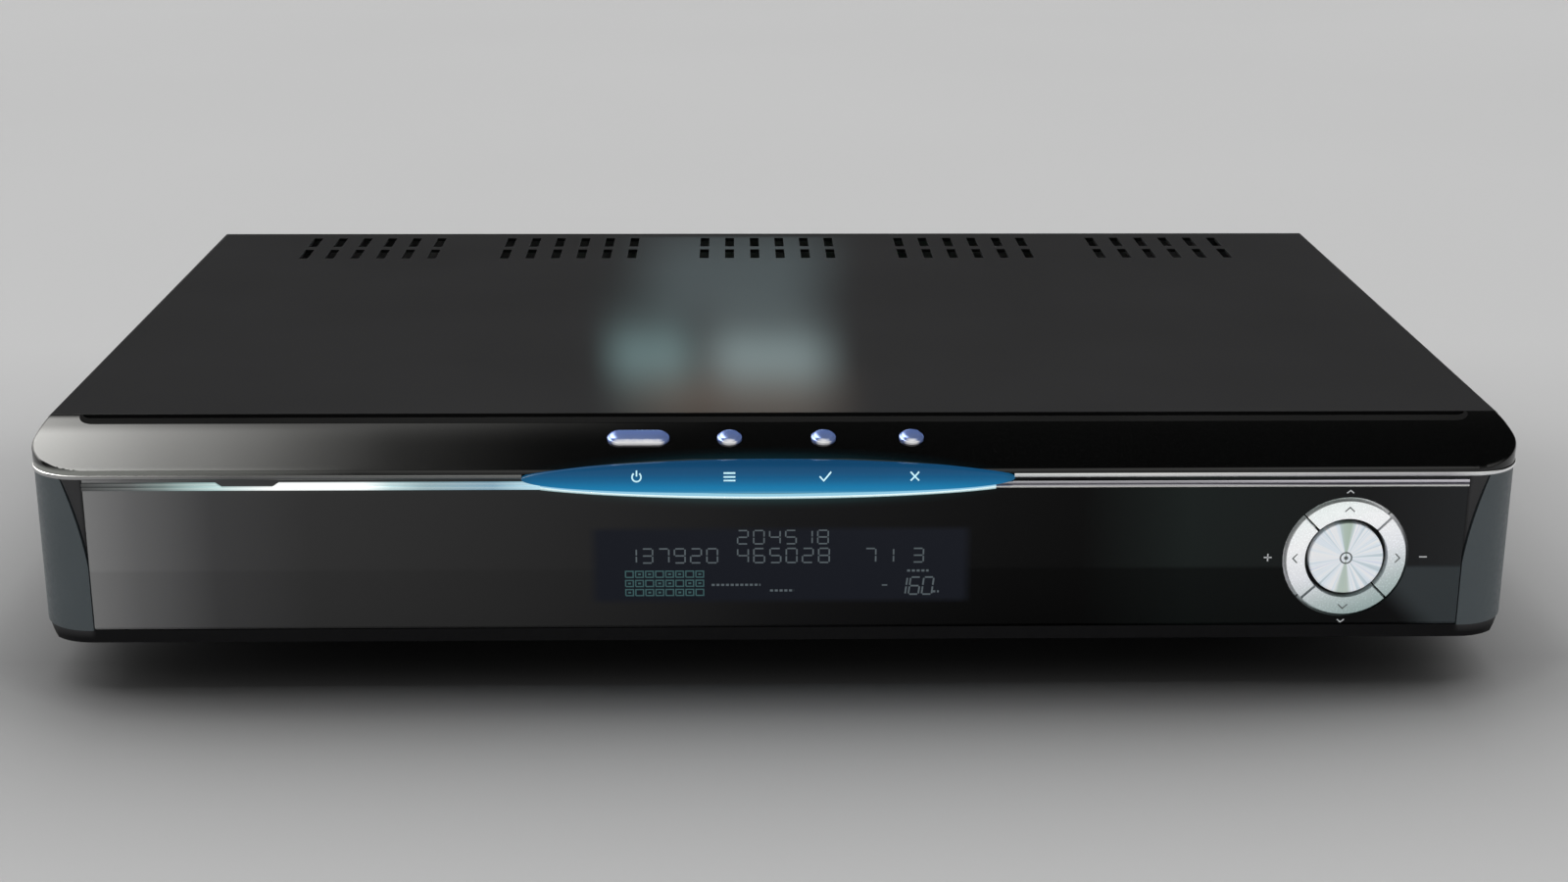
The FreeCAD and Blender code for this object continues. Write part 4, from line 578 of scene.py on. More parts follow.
def cushion(wide, high, low, top, corner, ease, steps=6, rounds=4):
    """Block with round corners, drawn in along a quarter circle at its top edge: the outline's half sizes
    shrink by ease (1 - cos a) while the height gains ease sin a."""
    turn = np.linspace(0, math.pi / 2, rounds)
    inset = [0.0, *(ease * (1 - np.cos(turn)))]
    height = [low, *(top - ease + ease * np.sin(turn))]
    rows = [np.c_[rounded(wide / 2 - i, high / 2 - i, max(corner - i, 0.01), steps),
                  np.full(4 * steps, h)] for i, h in zip(inset, height)]
    return lattice(np.array(rows), close=True, caps=True)


def ring_section(outer, inner, low, top, ease):
    """Closed outline of a ring's section, its two upper corners rounded by quarter circles."""
    turn = np.linspace(0, math.pi / 2, 4)
    out_corner = np.c_[outer - ease + ease * np.cos(turn), top - ease + ease * np.sin(turn)]
    in_corner = np.c_[inner + ease - ease * np.sin(turn), top - ease + ease * np.cos(turn)]
    return np.concatenate([[[outer, low]], out_corner, in_corner, [[inner, low]]])


def ring(outer, inner, low, top, ease=0.1, sides=48):
    """A ring: its section carried round the out axis."""
    section = ring_section(outer, inner, low, top, ease)
    angle = np.linspace(0, 2 * math.pi, sides, endpoint=False)
    grid = np.stack([np.outer(np.cos(angle), section[:, 0]), np.outer(np.sin(angle), section[:, 0]),
                     np.tile(section[:, 1], (sides, 1))], axis=-1)
    return lattice(np.concatenate([grid, grid[:1]]), close=True)


def stroke(path, width, low, top):
    """A raised line: each point of the path set off half a width to both sides, square to the run and
    mitred at bends, at the low and the top level."""
    path = np.array(path, float)
    run = np.diff(path, axis=0)
    run /= np.linalg.norm(run, axis=1)[:, None]
    before, after = np.vstack([run[:1], run]), np.vstack([run, run[-1:]])
    along_both = before + after
    along_both /= np.maximum(np.linalg.norm(along_both, axis=1), 1e-6)[:, None]
    reach = width / 2 / np.maximum((along_both * after).sum(axis=1), 0.5)
    side = np.c_[-along_both[:, 1], along_both[:, 0]] * reach[:, None]
    left, right = path + side, path - side
    grid = np.stack([np.c_[left, np.full(len(path), low)], np.c_[right, np.full(len(path), low)],
                     np.c_[right, np.full(len(path), top)], np.c_[left, np.full(len(path), top)]], axis=1)
    return lattice(grid, close=True, caps=True)


def arc_path(radius, start, end):
    """Points on a circle between two angles in degrees."""
    turn = np.radians(np.linspace(start, end, 24))
    return radius * np.c_[np.cos(turn), np.sin(turn)]


# ---------------------------------------------------------------- front: lens and its crescent
def circle_through(a, b, c):
    """Centre and radius of the circle through three points: equal distance gives two linear equations."""
    a, b, c = (np.array(p, float) for p in (a, b, c))
    middle = np.linalg.solve(2 * np.array([b - a, c - a]), [b @ b - a @ a, c @ c - a @ a])
    return middle, np.linalg.norm(a - middle)


roll_middle, roll_radius = circle_through(*roll_points)


def roll_front(z):
    """Front of the rolled lens at a height: the near side of its circle."""
    return roll_middle[0] - np.sqrt(np.maximum(roll_radius ** 2 - (z - roll_middle[1]) ** 2, 0))


def oval(x, reach, rise):
    """Height at x of a half ellipse: rise sqrt(1 - (x / reach)^2)."""
    return rise * np.sqrt(np.maximum(1 - (x / reach) ** 2, 0))


def swept_across(reach, columns):
    """Places from -reach to reach, closer together towards both ends: reach sin a."""
    return reach * np.sin(np.linspace(-math.pi / 2, math.pi / 2, columns))


def lens_body():
    """Long oval on a roll: between the lower and upper half ellipses at each x, the height runs evenly and
    the depth follows the roll; near both the face falls back along a quarter circle."""
    ease, thick, rows = 0.6, 1.7, 25
    across = swept_across(lens_reach, 161)
    top = lens_tip + oval(across, lens_reach, lens_high[2] - lens_tip)
    low = lens_tip - oval(across, lens_reach, lens_tip - lens_low[2])
    part = (1 - np.cos(np.linspace(0, math.pi, rows))) / 2
    z = low[:, None] + (top - low)[:, None] * part
    edge = np.minimum(part, 1 - part) * (top - low)[:, None]
    fall = ease - np.sqrt(np.maximum(ease ** 2 - np.maximum(ease - edge, 0) ** 2, 0))
    front = np.stack([np.repeat(across[:, None], rows, 1) + lens_mid, roll_front(z) + fall, z], axis=-1)
    back = front[:, ::-1].copy()
    back[..., 1] = roll_front(back[..., 2]) + thick
    return lattice(np.concatenate([front, back], axis=1), close=True)


made("lens_glow", [(lens_body(), None, "glowing_lens")], "case", ["lens"])


def crescent():
    """Bright crescent under the lens, from strip to strip: between the lens's lower half ellipse and a wider
    one, a flattened half-round section whose height goes with its width."""
    clear, wider, proud_of_face, sides = 0.05, 7.7, 1.45, 13
    trim_low, trim_high = corners("lens_trim")
    across = swept_across((trim_high[0] - trim_low[0]) / 2, 121)
    inner = lens_tip - oval(across, lens_reach, lens_tip - lens_low[2]) - clear
    outer = lens_tip - oval(across, lens_reach + wider, lens_tip - trim_low[2])
    wide = np.maximum(inner - outer, clear)
    turn = np.linspace(0, math.pi, sides)
    z = (inner + outer)[:, None] / 2 + wide[:, None] / 2 * np.cos(turn)
    y = face_y - proud_of_face * np.sin(turn) ** 0.7
    grid = np.stack([np.repeat(across[:, None], sides, 1) + lens_mid, y + 0 * z, z], axis=-1)
    return lattice(grid, close=True, caps=True)


made("lens_crescent", [(crescent(), None, "lit_crescent")], "case", ["lens_trim"])


# ---------------------------------------------------------------- front: marks on the lens
def on_lens(x):
    """Lays flat marks on the roll of the lens: up becomes height, out is set off from the roll."""
    above_tips = 0.55

    def place(points):
        z = lens_tip + above_tips + points[:, 1]
        return np.c_[x + points[:, 0], roll_front(z) - points[:, 2], z]
    return place


def walked(path):
    """The same path with points at an even step along each straight run."""
    step = 0.12
    path = np.array(path, float)
    runs = [np.linspace(a, b, int(np.linalg.norm(b - a) / step) + 2)[:-1] for a, b in zip(path, path[1:])]
    return np.concatenate(runs + [path[-1:]])


lens_signs = {
    "power_key": [arc_path(1.05, 130, 410), walked([(0, 0.15), (0, 1.45)])],
    "menu_key": [walked([(-1.4, height), (1.4, height)]) for height in (-0.85, 0.0, 0.85)],
    "select_key": [walked([(-1.3, 0.05), (-0.35, -0.95), (1.4, 1.05)])],
    "exit_key": [walked([(-side, -1.0), (side, 1.0)]) for side in (-1, 1)]}
sign_line, sign_root, sign_top = 0.36, -0.1, 0.05
made("lens_signs", [(stroke(path, sign_line, sign_root, sign_top), on_lens(middle_of(key)[0]), "sign_light")
                    for key, paths in lens_signs.items() for path in paths], "case")


# ---------------------------------------------------------------- front: four-way pad
pad = at_front(pad_x, pad_z)
pad_face = at_front(pad_x, pad_z, face_y + pad_sunk)


def arc_body(inner, outer, section, middle, end_ease):
    """A section (radius, height) carried round a quarter circle about the pad's axis. Its ends stay level
    with the split lines: at radius r they stop short of 45 degrees by asin(half gap / r). Their outline is
    drawn in along a quarter circle, and their faces are a little dished."""
    turn = np.radians([0, 30, 60])
    end_inset, end_short = end_ease * (1 - np.sin(turn)), end_ease * np.cos(turn)
    run = np.concatenate([np.zeros(3), np.linspace(0, 1, 25), np.ones(3)])
    inset = np.concatenate([end_inset, np.zeros(25), end_inset[::-1]])[:, None]
    short = np.concatenate([end_short, np.full(25, end_ease), end_short[::-1]])[:, None]
    radius = section[None, :, 0] + np.sign((inner + outer) / 2 - section[None, :, 0]) * inset
    height = section[None, :, 1] - inset * (section[None, :, 1] > 0.2)
    stop = math.pi / 4 - np.arcsin(pad_split / radius) - short / radius
    angle = middle + (2 * run[:, None] - 1) * stop
    grid = np.stack([radius * np.cos(angle), radius * np.sin(angle), height], axis=-1)
    return lattice(grid, close=True, caps=True)


def crowned_section(inner, outer, low, top, slope, ease):
    """Section of an arc key: upright walls, round shoulders, and a face that falls outwards."""
    section = ring_section(outer, inner, low, top, ease)
    fall = np.clip((section[:, 0] - inner) / (outer - inner), 0, 1) ** 2 * slope
    section[1:-1, 1] -= fall[1:-1]
    return section


def arc_key(name, middle):
    """Quarter key of the pad: cap, flange behind the fascia, stem down to its switch, and a chevron."""
    cap = crowned_section(arc_inner, arc_outer, -1.9, 1.4, 0.2, 0.18)
    flange = ring_section(arc_flange, arc_inner, -3.1, -2.1, 0.1)
    stem_wide, mark_radius, mark_line = 3.0, 12.45, 0.3
    stem_foot = face_y - corners(name)[1][1]
    stem = cushion(stem_wide, stem_wide, stem_foot, -3.0, 0.2, 0.1, steps=3, rounds=2)
    outward = np.array([math.cos(middle), math.sin(middle)])
    stem_at = np.array([pad_x, pad_z]) + (arc_inner + arc_outer) / 2 * outward
    chevron = np.array([[-0.55, -1.15], [0.55, 0.0], [-0.55, 1.15]])
    turn = np.array([outward, [-outward[1], outward[0]]])
    mark = stroke(mark_radius * outward + chevron @ turn, mark_line, 1.0, 1.33)
    made(name + "_cap", [(arc_body(arc_inner, arc_outer, cap, middle, 0.3), pad_face, "ring_silver"),
                         (arc_body(arc_inner, arc_flange, flange, middle, 0.05), pad, "ring_silver"),
                         (stem, at_front(*stem_at), "ring_silver"),
                         (mark, pad_face, "mark_grey")], name, [name])


for arc_name, quarter in (("nav_right", 0), ("nav_up", 1), ("nav_left", 2), ("nav_down", 3)):
    arc_key(arc_name, quarter * math.pi / 2)


def centre_key():
    """Spun centre key: a shallow dish inside a rounded rim, with its stem and a plain ring for a mark."""
    edge, top, foot, rim_round, dish_reach, dish_deep = 9.0, 1.4, -2.0, 0.4, 8.5, 0.3
    turn = np.linspace(0, math.pi / 2, 6)[::-1]
    rim = np.c_[edge - rim_round * (1 - np.sin(turn)), top - rim_round * (1 - np.cos(turn))]
    radius = np.linspace(dish_reach, 0, 18)
    dish = np.c_[radius, top - dish_deep * (1 - (radius / dish_reach) ** 2)]
    profile = np.concatenate([[[0, foot], [edge, foot]], rim, dish])
    depth = face_y - corners("nav_centre")[1][1]
    stem = cushion(3.4, 3.4, depth, -1.9, 0.2, 0.1, steps=3, rounds=2)
    snap = cushion(4.8, 4.8, depth + 1.2, depth + 2.4, 0.3, 0.3, steps=3, rounds=3)
    dot = turned([(0, 1.0), (0.5, 1.0), (0.5, 1.14), (0, 1.14)], 24)
    made("nav_centre_cap", [(turned(profile, 96), pad_face, "spun_metal"), (stem, pad, "ring_silver"),
                            (snap, pad, "ring_silver"),
                            (ring(1.55, 1.2, 1.0, 1.17, 0.05), pad_face, "mark_grey"),
                            (dot, pad_face, "mark_grey")], "nav_centre", ["nav_centre"])


centre_key()


def pad_signs():
    """Printed signs round the pad: plus and minus beside it, chevrons above and below."""
    dash, upright = [(-0.95, 0), (0.95, 0)], [(0, -0.95), (0, 0.95)]
    above, below = ([(-0.85, -side * 0.35), (0, side * 0.35), (0.85, -side * 0.35)] for side in (1, -1))
    aside, high, low, line, thin = 18.9, 16.7, -16.5, 0.32, 0.288
    signs = ((dash, -aside, 0, line), (upright, -aside, 0, line), (dash, aside, 0, line),
             (above, 0, high, thin), (below, 0, low, thin))
    return [(stroke(path, wide, -0.05, 0.03), at_front(pad_x + x, pad_z + z), "print_grey")
            for path, x, z, wide in signs]


made("pad_signs", pad_signs(), "case")


# ---------------------------------------------------------------- front: display
bars = {"a": ((0, 2), (1, 2)), "b": ((1, 2), (1, 1)), "c": ((1, 1), (1, 0)), "d": ((0, 0), (1, 0)),
        "e": ((0, 1), (0, 0)), "f": ((0, 2), (0, 1)), "g": ((0, 1), (1, 1)), "-": ((0.1, 1), (0.9, 1))}
figure_bars = {"0": "abcdef", "1": "bc", "2": "abged", "3": "abgcd", "4": "fgbc", "5": "afgcd", "6": "afgedc",
               "7": "abc", "8": "abcdefg", "9": "abcdfg", "-": "-"}
tube = at_front(0, 0)


def tube_stroke(path, width, look="tube_light"):
    """One lit line of the display."""
    return stroke(path, width, -0.05, 0.02), tube, look


def numerals(text, x, z, wide, high, line, pitch=0.0, slant=0.0):
    """Seven-bar figures: each lit bar is a short raised line, stopping short of its neighbours."""
    shapes = []
    for place, figure in enumerate(text):
        for bar_name in figure_bars[figure]:
            start, end = np.array(bars[bar_name], float)
            trim = (end - start) * 0.09
            ends = np.array([start + trim, end - trim]) * [wide, high / 2]
            ends[:, 0] += ends[:, 1] * slant + x + place * pitch
            ends[:, 1] += z
            shapes.append(tube_stroke(ends, line))
    return shapes


def display_marks():
    """What the tube shows: two lines of figures, a block of small frames, a level and two short notes."""
    shapes = []
    for text, x, z, wide, high, line, pitch, slant in (
            ("204518", -10.1, 36.9, 2.5, 3.4, 0.34, 3.85, 0),
            ("137920", -37.0, 32.1, 2.55, 3.6, 0.36, 3.9, 0),
            ("465028", -10.1, 32.1, 2.55, 3.6, 0.36, 3.9, 0),
            ("71", 20.6, 32.1, 2.55, 3.5, 0.36, 4.3, 0),
            ("3", 32.1, 32.1, 2.55, 3.5, 0.36, 0, 0),
            ("-", 24.4, 24.0, 2.0, 4.4, 0.36, 0, 0),
            ("160", 28.0, 23.8, 2.4, 4.4, 0.4, 3.2, 0.12)):
        shapes += numerals(text, x, z, wide, high, line, pitch, slant)
    box = 0.92 * np.array([(-1, -0.85), (1, -0.85), (1, 0.85), (-1, 0.85), (-1, -0.85)])
    for row in range(3):
        for column in range(8):
            x, z = -36.2 + column * 2.42, 29.2 - row * 2.35
            shapes.append(tube_stroke(box + [x, z], 0.3, "tube_teal"))
            if (row + column) % 3:
                shapes.append(tube_stroke([(x - 0.35, z), (x + 0.35, z)], 0.45, "tube_teal"))
    for start, end, z in ((-16.4, -4.6, 26.4), (-2.3, 3.5, 24.9), (30.8, 36.0, 29.9), (37.0, 38.6, 24.5)):
        shapes += [tube_stroke([(x, z), (min(x + 0.75, end), z)], 0.55) for x in np.arange(start, end, 1.15)]
    return shapes


made("display_figures", display_marks(), "case")


# ---------------------------------------------------------------- front: bead, lip and groove
def crowned(piece):
    """Gives the corners that lie on the crown the crown's own normal, straight out from its axis, so that
    gloss runs evenly over it. A corner given no direction keeps its own."""
    mesh = piece.data
    spots, facing = np.empty(3 * len(mesh.vertices)), np.empty(3 * len(mesh.polygons))
    corner, sides = np.empty(len(mesh.loops), np.int32), np.empty(len(mesh.polygons), np.int32)
    mesh.vertices.foreach_get("co", spots)
    mesh.polygons.foreach_get("normal", facing)
    mesh.loops.foreach_get("vertex_index", corner)
    mesh.polygons.foreach_get("loop_total", sides)
    out = (spots.reshape(-1, 3) / MM - [0, *crown_axis]) * [0, 1, 1]
    far = np.linalg.norm(out, axis=1)
    out /= np.maximum(far, 1e-6)[:, None]
    turned_out = (out[corner] * np.repeat(facing.reshape(-1, 3), sides, axis=0)).sum(axis=1)
    on_crown = (np.abs(far[corner] - crown_radius) < 0.08) & (turned_out > 0.96)
    mesh.normals_split_custom_set(np.where(on_crown[:, None], out[corner], 0.0).tolist())


def bead(side):
    """Half of the bead, from the lens round one corner: a bar with a round nose carried along the lip's
    outline in plan, which is straight, then a quarter circle, then straight to the back."""
    low, high = bead_low[2], bead_high[2]
    wide, nose, corner = 2.8, 0.45, 14.3
    reach = lens_reach * math.sqrt(1 - (((low + high) / 2 - lens_tip) / (lens_tip - lens_low[2])) ** 2)
    start = (lens_mid + side * (reach + 0.1)) * side
    end, front, back = bead_high[0], bead_low[1], bead_high[1]
    turn = np.linspace(0, math.pi / 2, 25)
    straight = np.linspace(start, end - corner, 20)[:-1]
    path = np.concatenate([np.c_[straight, np.full(len(straight), front)],
                           np.c_[end - corner * (1 - np.sin(turn)), front + corner * (1 - np.cos(turn))],
                           [(end, back)]])
    outward = np.concatenate([[(0.0, -1.0)] * len(straight), np.c_[np.sin(turn), -np.cos(turn)],
                              [(1.0, 0.0)]])
    around = np.linspace(0, math.pi / 2, 6)
    outline = np.concatenate([
        [(-wide, low)], np.c_[nose * np.sin(around) - nose, low + nose - nose * np.cos(around)],
        np.c_[nose * np.cos(around) - nose, high - nose + nose * np.sin(around)], [(-wide, high)]])
    flat = path[:, None, :] + outward[:, None, :] * outline[None, :, :1]
    grid = np.dstack([side * flat[..., 0], flat[..., 1], np.tile(outline[:, 1], (len(path), 1))])
    return lattice(grid, close=True, caps=True)


made("lip_bead", [(bead(side), None, "bead_metal") for side in (-1, 1)], "case", ["lip_trim"])
crowned(faired("top_lip"))
for node in ("trim_strip_left", "trim_strip_right", "corner_left", "corner_right"):
    faired(node)


def groove_shade_strip():
    """Painted shade: a matt dark strip on the crown beside the groove, widening the groove's shadow. Its
    inner edge follows the groove's outline in plan, its outer edge a longer outline with elliptic ends, and
    its height is the crown's circle, a little raised."""
    outer_half, end_long, strip_wide, raised, sunk = 167.0, 4.6, 6.9, 0.07, -0.5
    turn = np.linspace(0.06, math.pi / 2, 12)
    run = np.linspace(-1, 1, 61)[1:-1]

    def outline(middle, long, wide):
        end = np.c_[middle + long * np.cos(turn), -wide * np.sin(turn)]
        straight = np.c_[middle * run, np.full(len(run), -wide)]
        return np.concatenate([end * [-1, 1], straight, end[::-1]])

    edge = groove_wide - 0.05
    inner, outer = outline(groove_half, edge, edge), outline(outer_half, end_long, strip_wide)
    plan = inner[:, None] + (outer - inner)[:, None] * np.linspace(0, 1, 6)[:, None]
    plan = np.concatenate([plan, plan[:, ::-1]], axis=1)
    rise = np.repeat([raised, sunk], 6) + crown_axis[1]
    z = np.sqrt(crown_radius ** 2 - plan[..., 1] ** 2) + rise
    return lattice(np.dstack([plan[..., 0], crown_axis[0] + plan[..., 1], z]), close=True, caps=True)


def groove_floor():
    """Matt floor of the groove, paler than the cover as painted light in the groove's shade: a flat slab, its
    front edge straight between quarter circles.
    """
    edge, top, foot = groove_wide - 0.1, 0.06, -0.3
    end = groove_half + edge * np.sin(np.linspace(0, math.pi / 2, 12)[:-1])
    x = np.concatenate([-end[::-1], np.linspace(-groove_half, groove_half, 41)[1:-1], end])
    front = -np.sqrt(edge ** 2 - np.maximum(np.abs(x) - groove_half, 0) ** 2)
    back = np.full(len(x), -0.05)
    y = crown_axis[0] + np.stack([back, front, front, back], axis=1)
    z = cover_high[2] - groove_sink + np.tile([top, top, foot, foot], (len(x), 1))
    return lattice(np.dstack([np.repeat(x[:, None], 4, 1), y, z]), close=True, caps=True)


made("lip_groove_painted_shade_and_light", [(groove_shade_strip(), None, "groove_shade_matt"), (groove_floor(), None, "groove_floor_painted_light")], "case")


# ---------------------------------------------------------------- front: keys in the lip
def lip_frame(x):
    """Frame of a lip key: out is square to the lip's crown at the key row."""
    level = math.sqrt(1 - key_lean ** 2)
    return lambda points: put(points, (x, key_row_y, key_row_z), (1, 0, 0), (0, level, key_lean),
                              (0, -key_lean, level))


def lip_key(node):
    """A dome with a rounded shoulder on an upright side, over a flange and a stem; the long key is the same
    dome drawn out."""
    low, high = corners(node)
    long, wide = high[0] - low[0] - 2, 5.8 if node == "power_key" else 6.0
    end = (low[2] - key_row_z + 1.1 * key_lean) / math.sqrt(1 - key_lean ** 2)
    ease, rise, top = 0.35, 0.85, 1.5
    side = top - rise - ease
    shoulder, share = np.linspace(0, math.pi / 2, 5)[1:], np.linspace(0, 1, 14)[1:]
    inset = np.concatenate([[0, 0], ease * (1 - np.cos(shoulder)), ease + (wide / 2 - ease - 0.01) * share])
    height = np.concatenate([[-2.5, side], side + ease * np.sin(shoulder),
                             side + ease + rise * np.sqrt(1 - (1 - share) ** 2.4)])
    rows = [np.c_[rounded(long / 2 - i, wide / 2 - i, wide / 2 - i, 16), np.full(64, h)]
            for i, h in zip(inset, height)]
    flange = cushion(long + 2, wide + 2, -3.3, -2.5, 0.6, 0.12, rounds=2)
    stem = cushion(2.2, 2.2, end, -3.2, 0.25, 0.1, steps=3, rounds=2)
    place = lip_frame((low[0] + high[0]) / 2)
    made(node + "_cap", [(lattice(np.array(rows), close=True, caps=True), place, "key_lacquer"),
                         (flange, place, "key_silver"), (stem, place, "key_silver")], node, [node], angle=50)


for node in ("power_key", "menu_key", "select_key", "exit_key"):
    lip_key(node)


# ---------------------------------------------------------------- screws
def cross_head(radius, high):
    """Pan head with a cross recess: height over (r, a) is a low dome with a round shoulder, less a
    smooth-walled cross where the nearer axis distance is under the arm's half width."""
    r = np.concatenate([np.linspace(0, 0.7, 15), np.linspace(0.74, 1, 7)])[:, None] * radius
    a = np.linspace(0, 2 * math.pi, 64, endpoint=False)[None, :]
    shoulder = 0.35 * radius
    edge = np.maximum(r - (radius - shoulder), 0) / shoulder
    height = high * (0.55 + 0.45 * np.sqrt(np.maximum(1 - edge ** 2, 0))) - 0.12 * high * (r / radius) ** 2
    x, y = np.abs(r * np.cos(a)), np.abs(r * np.sin(a))
    narrow = np.clip((0.17 * radius - np.minimum(x, y)) / (0.07 * radius), 0, 1)
    long = np.clip((0.62 * radius - np.maximum(x, y)) / (0.1 * radius), 0, 1)
    height = height - 0.62 * high * narrow * long
    grid = np.stack([r * np.cos(a), r * np.sin(a), height + 0 * a], axis=-1)
    skirt = np.stack([radius * np.cos(a[0]), radius * np.sin(a[0]), np.zeros(64)], axis=-1)
    return lattice(np.concatenate([grid, skirt[None]]), close=True, caps=True)


def thread(radius, low, high, pitch, depth, sides=24, bore=None, floor=None):
    """Threaded shank: the radius falls by depth between ridges that climb one pitch each turn.
    With a bore it goes back in to that radius and down to the floor."""
    steps = int((high - low) / pitch * 6) + 1
    z = np.linspace(low, high, steps)[:, None]
    a = np.linspace(0, 2 * math.pi, sides, endpoint=False)[None, :]
    phase = (z / pitch - a / (2 * math.pi)) % 1.0
    r = radius - depth * (1 - np.abs(2 * phase - 1)) * (z > low) * (z < high)
    r = r - 0.6 * depth * (z > high - 0.01)
    if bore:
        z = np.vstack([z, [[high], [floor]]])
        r = np.vstack([r, np.full((2, sides), bore)])
    return lattice(np.stack([r * np.cos(a), r * np.sin(a), z + 0 * a], axis=-1), close=True, caps=True)


def screws(places, radius=3.0, long=5.0):
    """Pan-head screws with threaded shanks, one in each frame."""
    head_high, shank, shank_top, pitch, depth = 1.6, 1.5, 0.3, 0.9, 0.3
    return [shape for place in places for shape in (
        (cross_head(radius, head_high), place, "screw_steel"),
        (thread(shank, -long, shank_top, pitch, depth), place, "screw_steel"))]


inlet_x, _, inlet_z = middle_of("mains_inlet")
side_places = [at_side(side, y, side_screw_z) for side in (-1, 1) for y in (-60.0, 78.5)]
hem_places = [at_rear(x, hem_screw_z, cover_high[1]) for x in (-150.0, -8.0, 150.0)]
foot_places = [at_rear(x, foot_screw_z) for x in (-120.0, 86.0)]
flange_places = [at_rear(inlet_x + side * 20.0, inlet_z, rear_y + 3.0) for side in (-1, 1)]
made("cover_screw_heads", screws(side_places), "case", ["cover_screws"])
made("rear_screw_heads", screws(hem_places) + screws(foot_places, long=4.0), "case", ["rear_screws"])
made("inlet_screw_heads", screws(flange_places, 2.6, 5.5), "case", ["inlet_screws"])


# ---------------------------------------------------------------- rear: sockets
proud = 0.6                                        # how far the sockets' mouths stand out of the panel


def hex_nut(flat, low, top, bore, sides=48):
    """Hexagon nut: at angle a its side lies at flat / cos(a folded into a sixth), cut by a cone that
    chamfers the outer corners."""
    a = np.linspace(0, 2 * math.pi, sides, endpoint=False)
    side = flat / np.cos((a + math.pi / 6) % (math.pi / 3) - math.pi / 6)
    corner = flat / math.cos(math.pi / 6)
    shares = np.linspace(0, 1, 5)
    radius = np.array([side, *(np.minimum(side, corner - 0.9 * share) for share in shares),
                       np.full(sides, bore), np.full(sides, bore)])
    height = np.array([low, *(top - 0.5 * (1 - shares)), top, low])[:, None]
    return lattice(np.stack([radius * np.cos(a), radius * np.sin(a), height + 0 * a], axis=-1),
                   close=True, caps=True)


def aerial_sockets():
    """Threaded barrels with nuts, white insulators and split contacts."""
    shapes = []
    for x in (-160.0, -138.0, -112.0, -90.0):
        spot = at_rear(x, middle_of("f_connectors")[2])
        shapes += [(thread(4.76, -1.0, 11.0, 0.79, 0.34, 40, bore=3.7, floor=4.0), spot, "nickel"),
                   (hex_nut(6.0, 0.0, 2.6, 4.6), spot, "nickel"),
                   (ring(6.6, 4.7, -0.05, 0.3, 0.1), spot, "tin_can"),
                   (ring(3.72, 0.9, 4.0, 10.5, 0.15), spot, "pale_plastic"),
                   (ring(0.9, 0.5, 4.0, 10.0, 0.1, 24), spot, "brass_pin")]
    return shapes


def phono_block():
    """Moulded block with six sockets: coloured boss, bright collar, coloured insulator, hollow contact."""
    mid_x, _, mid_z = middle_of("phono_sockets")
    pitch, row_pitch = 12.4, 13.6
    shapes = [(cushion(37.2, 26.8, -13.0, proud, 0.5, 0.3), at_rear(mid_x, mid_z), "black_plastic")]
    for row, tints in ((-0.5, ("yellow", "white", "red")), (0.5, ("green", "blue", "red"))):
        for column, tint in zip((-1, 0, 1), tints):
            spot = at_rear(mid_x + column * pitch, mid_z + row * row_pitch)
            shapes += [(ring(5.3, 4.1, 0.3, 1.5, 0.25), spot, "ring_" + tint),
                       (ring(4.15, 3.55, 0.3, 9.0, 0.2), spot, "nickel"),
                       (ring(3.57, 1.75, 0.3, 8.0, 0.2), spot, "ring_" + tint),
                       (ring(1.76, 1.45, 0.3, 7.4, 0.1, 24), spot, "nickel")]
    return shapes


def shell(outer, inner, low, top, floor, ease=0.12):
    """Open socket shell: the outer outline from low to top, over an eased lip to the inner outline, and
    down to the floor. Both outlines have as many points."""
    outer, inner = np.array(outer, float), np.array(inner, float)
    soft = outer + (inner - outer) * np.minimum(ease / np.linalg.norm(inner - outer, axis=1), 0.4)[:, None]
    rows = [(outer, low), (outer, top - ease), (soft, top), (inner, top), (inner, floor)]
    return lattice(np.array([np.c_[row, np.full(len(row), height)] for row, height in rows]),
                   close=True, caps=True)


def drawn_in(outline, inset):
    """An outline drawn in towards the middle of its box by inset on each side."""
    outline = np.array(outline, float)
    middle = (outline.max(0) + outline.min(0)) / 2
    half = (outline.max(0) - outline.min(0)) / 2
    return middle + (outline - middle) * (half - inset) / half


def bar(x, z, wide, high, low, top, look, spot):
    """A small block on a rear frame, centred at x, z."""
    points, faces = cushion(wide, high, low, top, min(wide, high) * 0.2, min(wide, high) * 0.15, 3, 3)
    return (points + np.array([x, z, 0]), faces), spot, look


def picture_socket():
    """Wide socket with cut lower corners, a black tongue and nineteen contacts."""
    spot = at_rear(middle_of("hdmi_socket")[0], board_top)
    outline = [(-7.5, 6), (-7.5, 1.9), (-5.6, 0), (5.6, 0), (7.5, 1.9), (7.5, 6)]
    return [(shell(outline, drawn_in(outline, 0.5), -11.4, proud, -10.0), spot, "tin_can"),
            bar(0, 3.5, 10.0, 1.0, -10.5, -1.0, "black_plastic", spot),
            *(bar(i - 4.5, 4.03, 0.4, 0.08, -9.0, -1.2, "brass_pin", spot) for i in range(10)),
            *(bar(i - 4.0, 2.97, 0.4, 0.08, -9.0, -1.2, "brass_pin", spot) for i in range(9))]


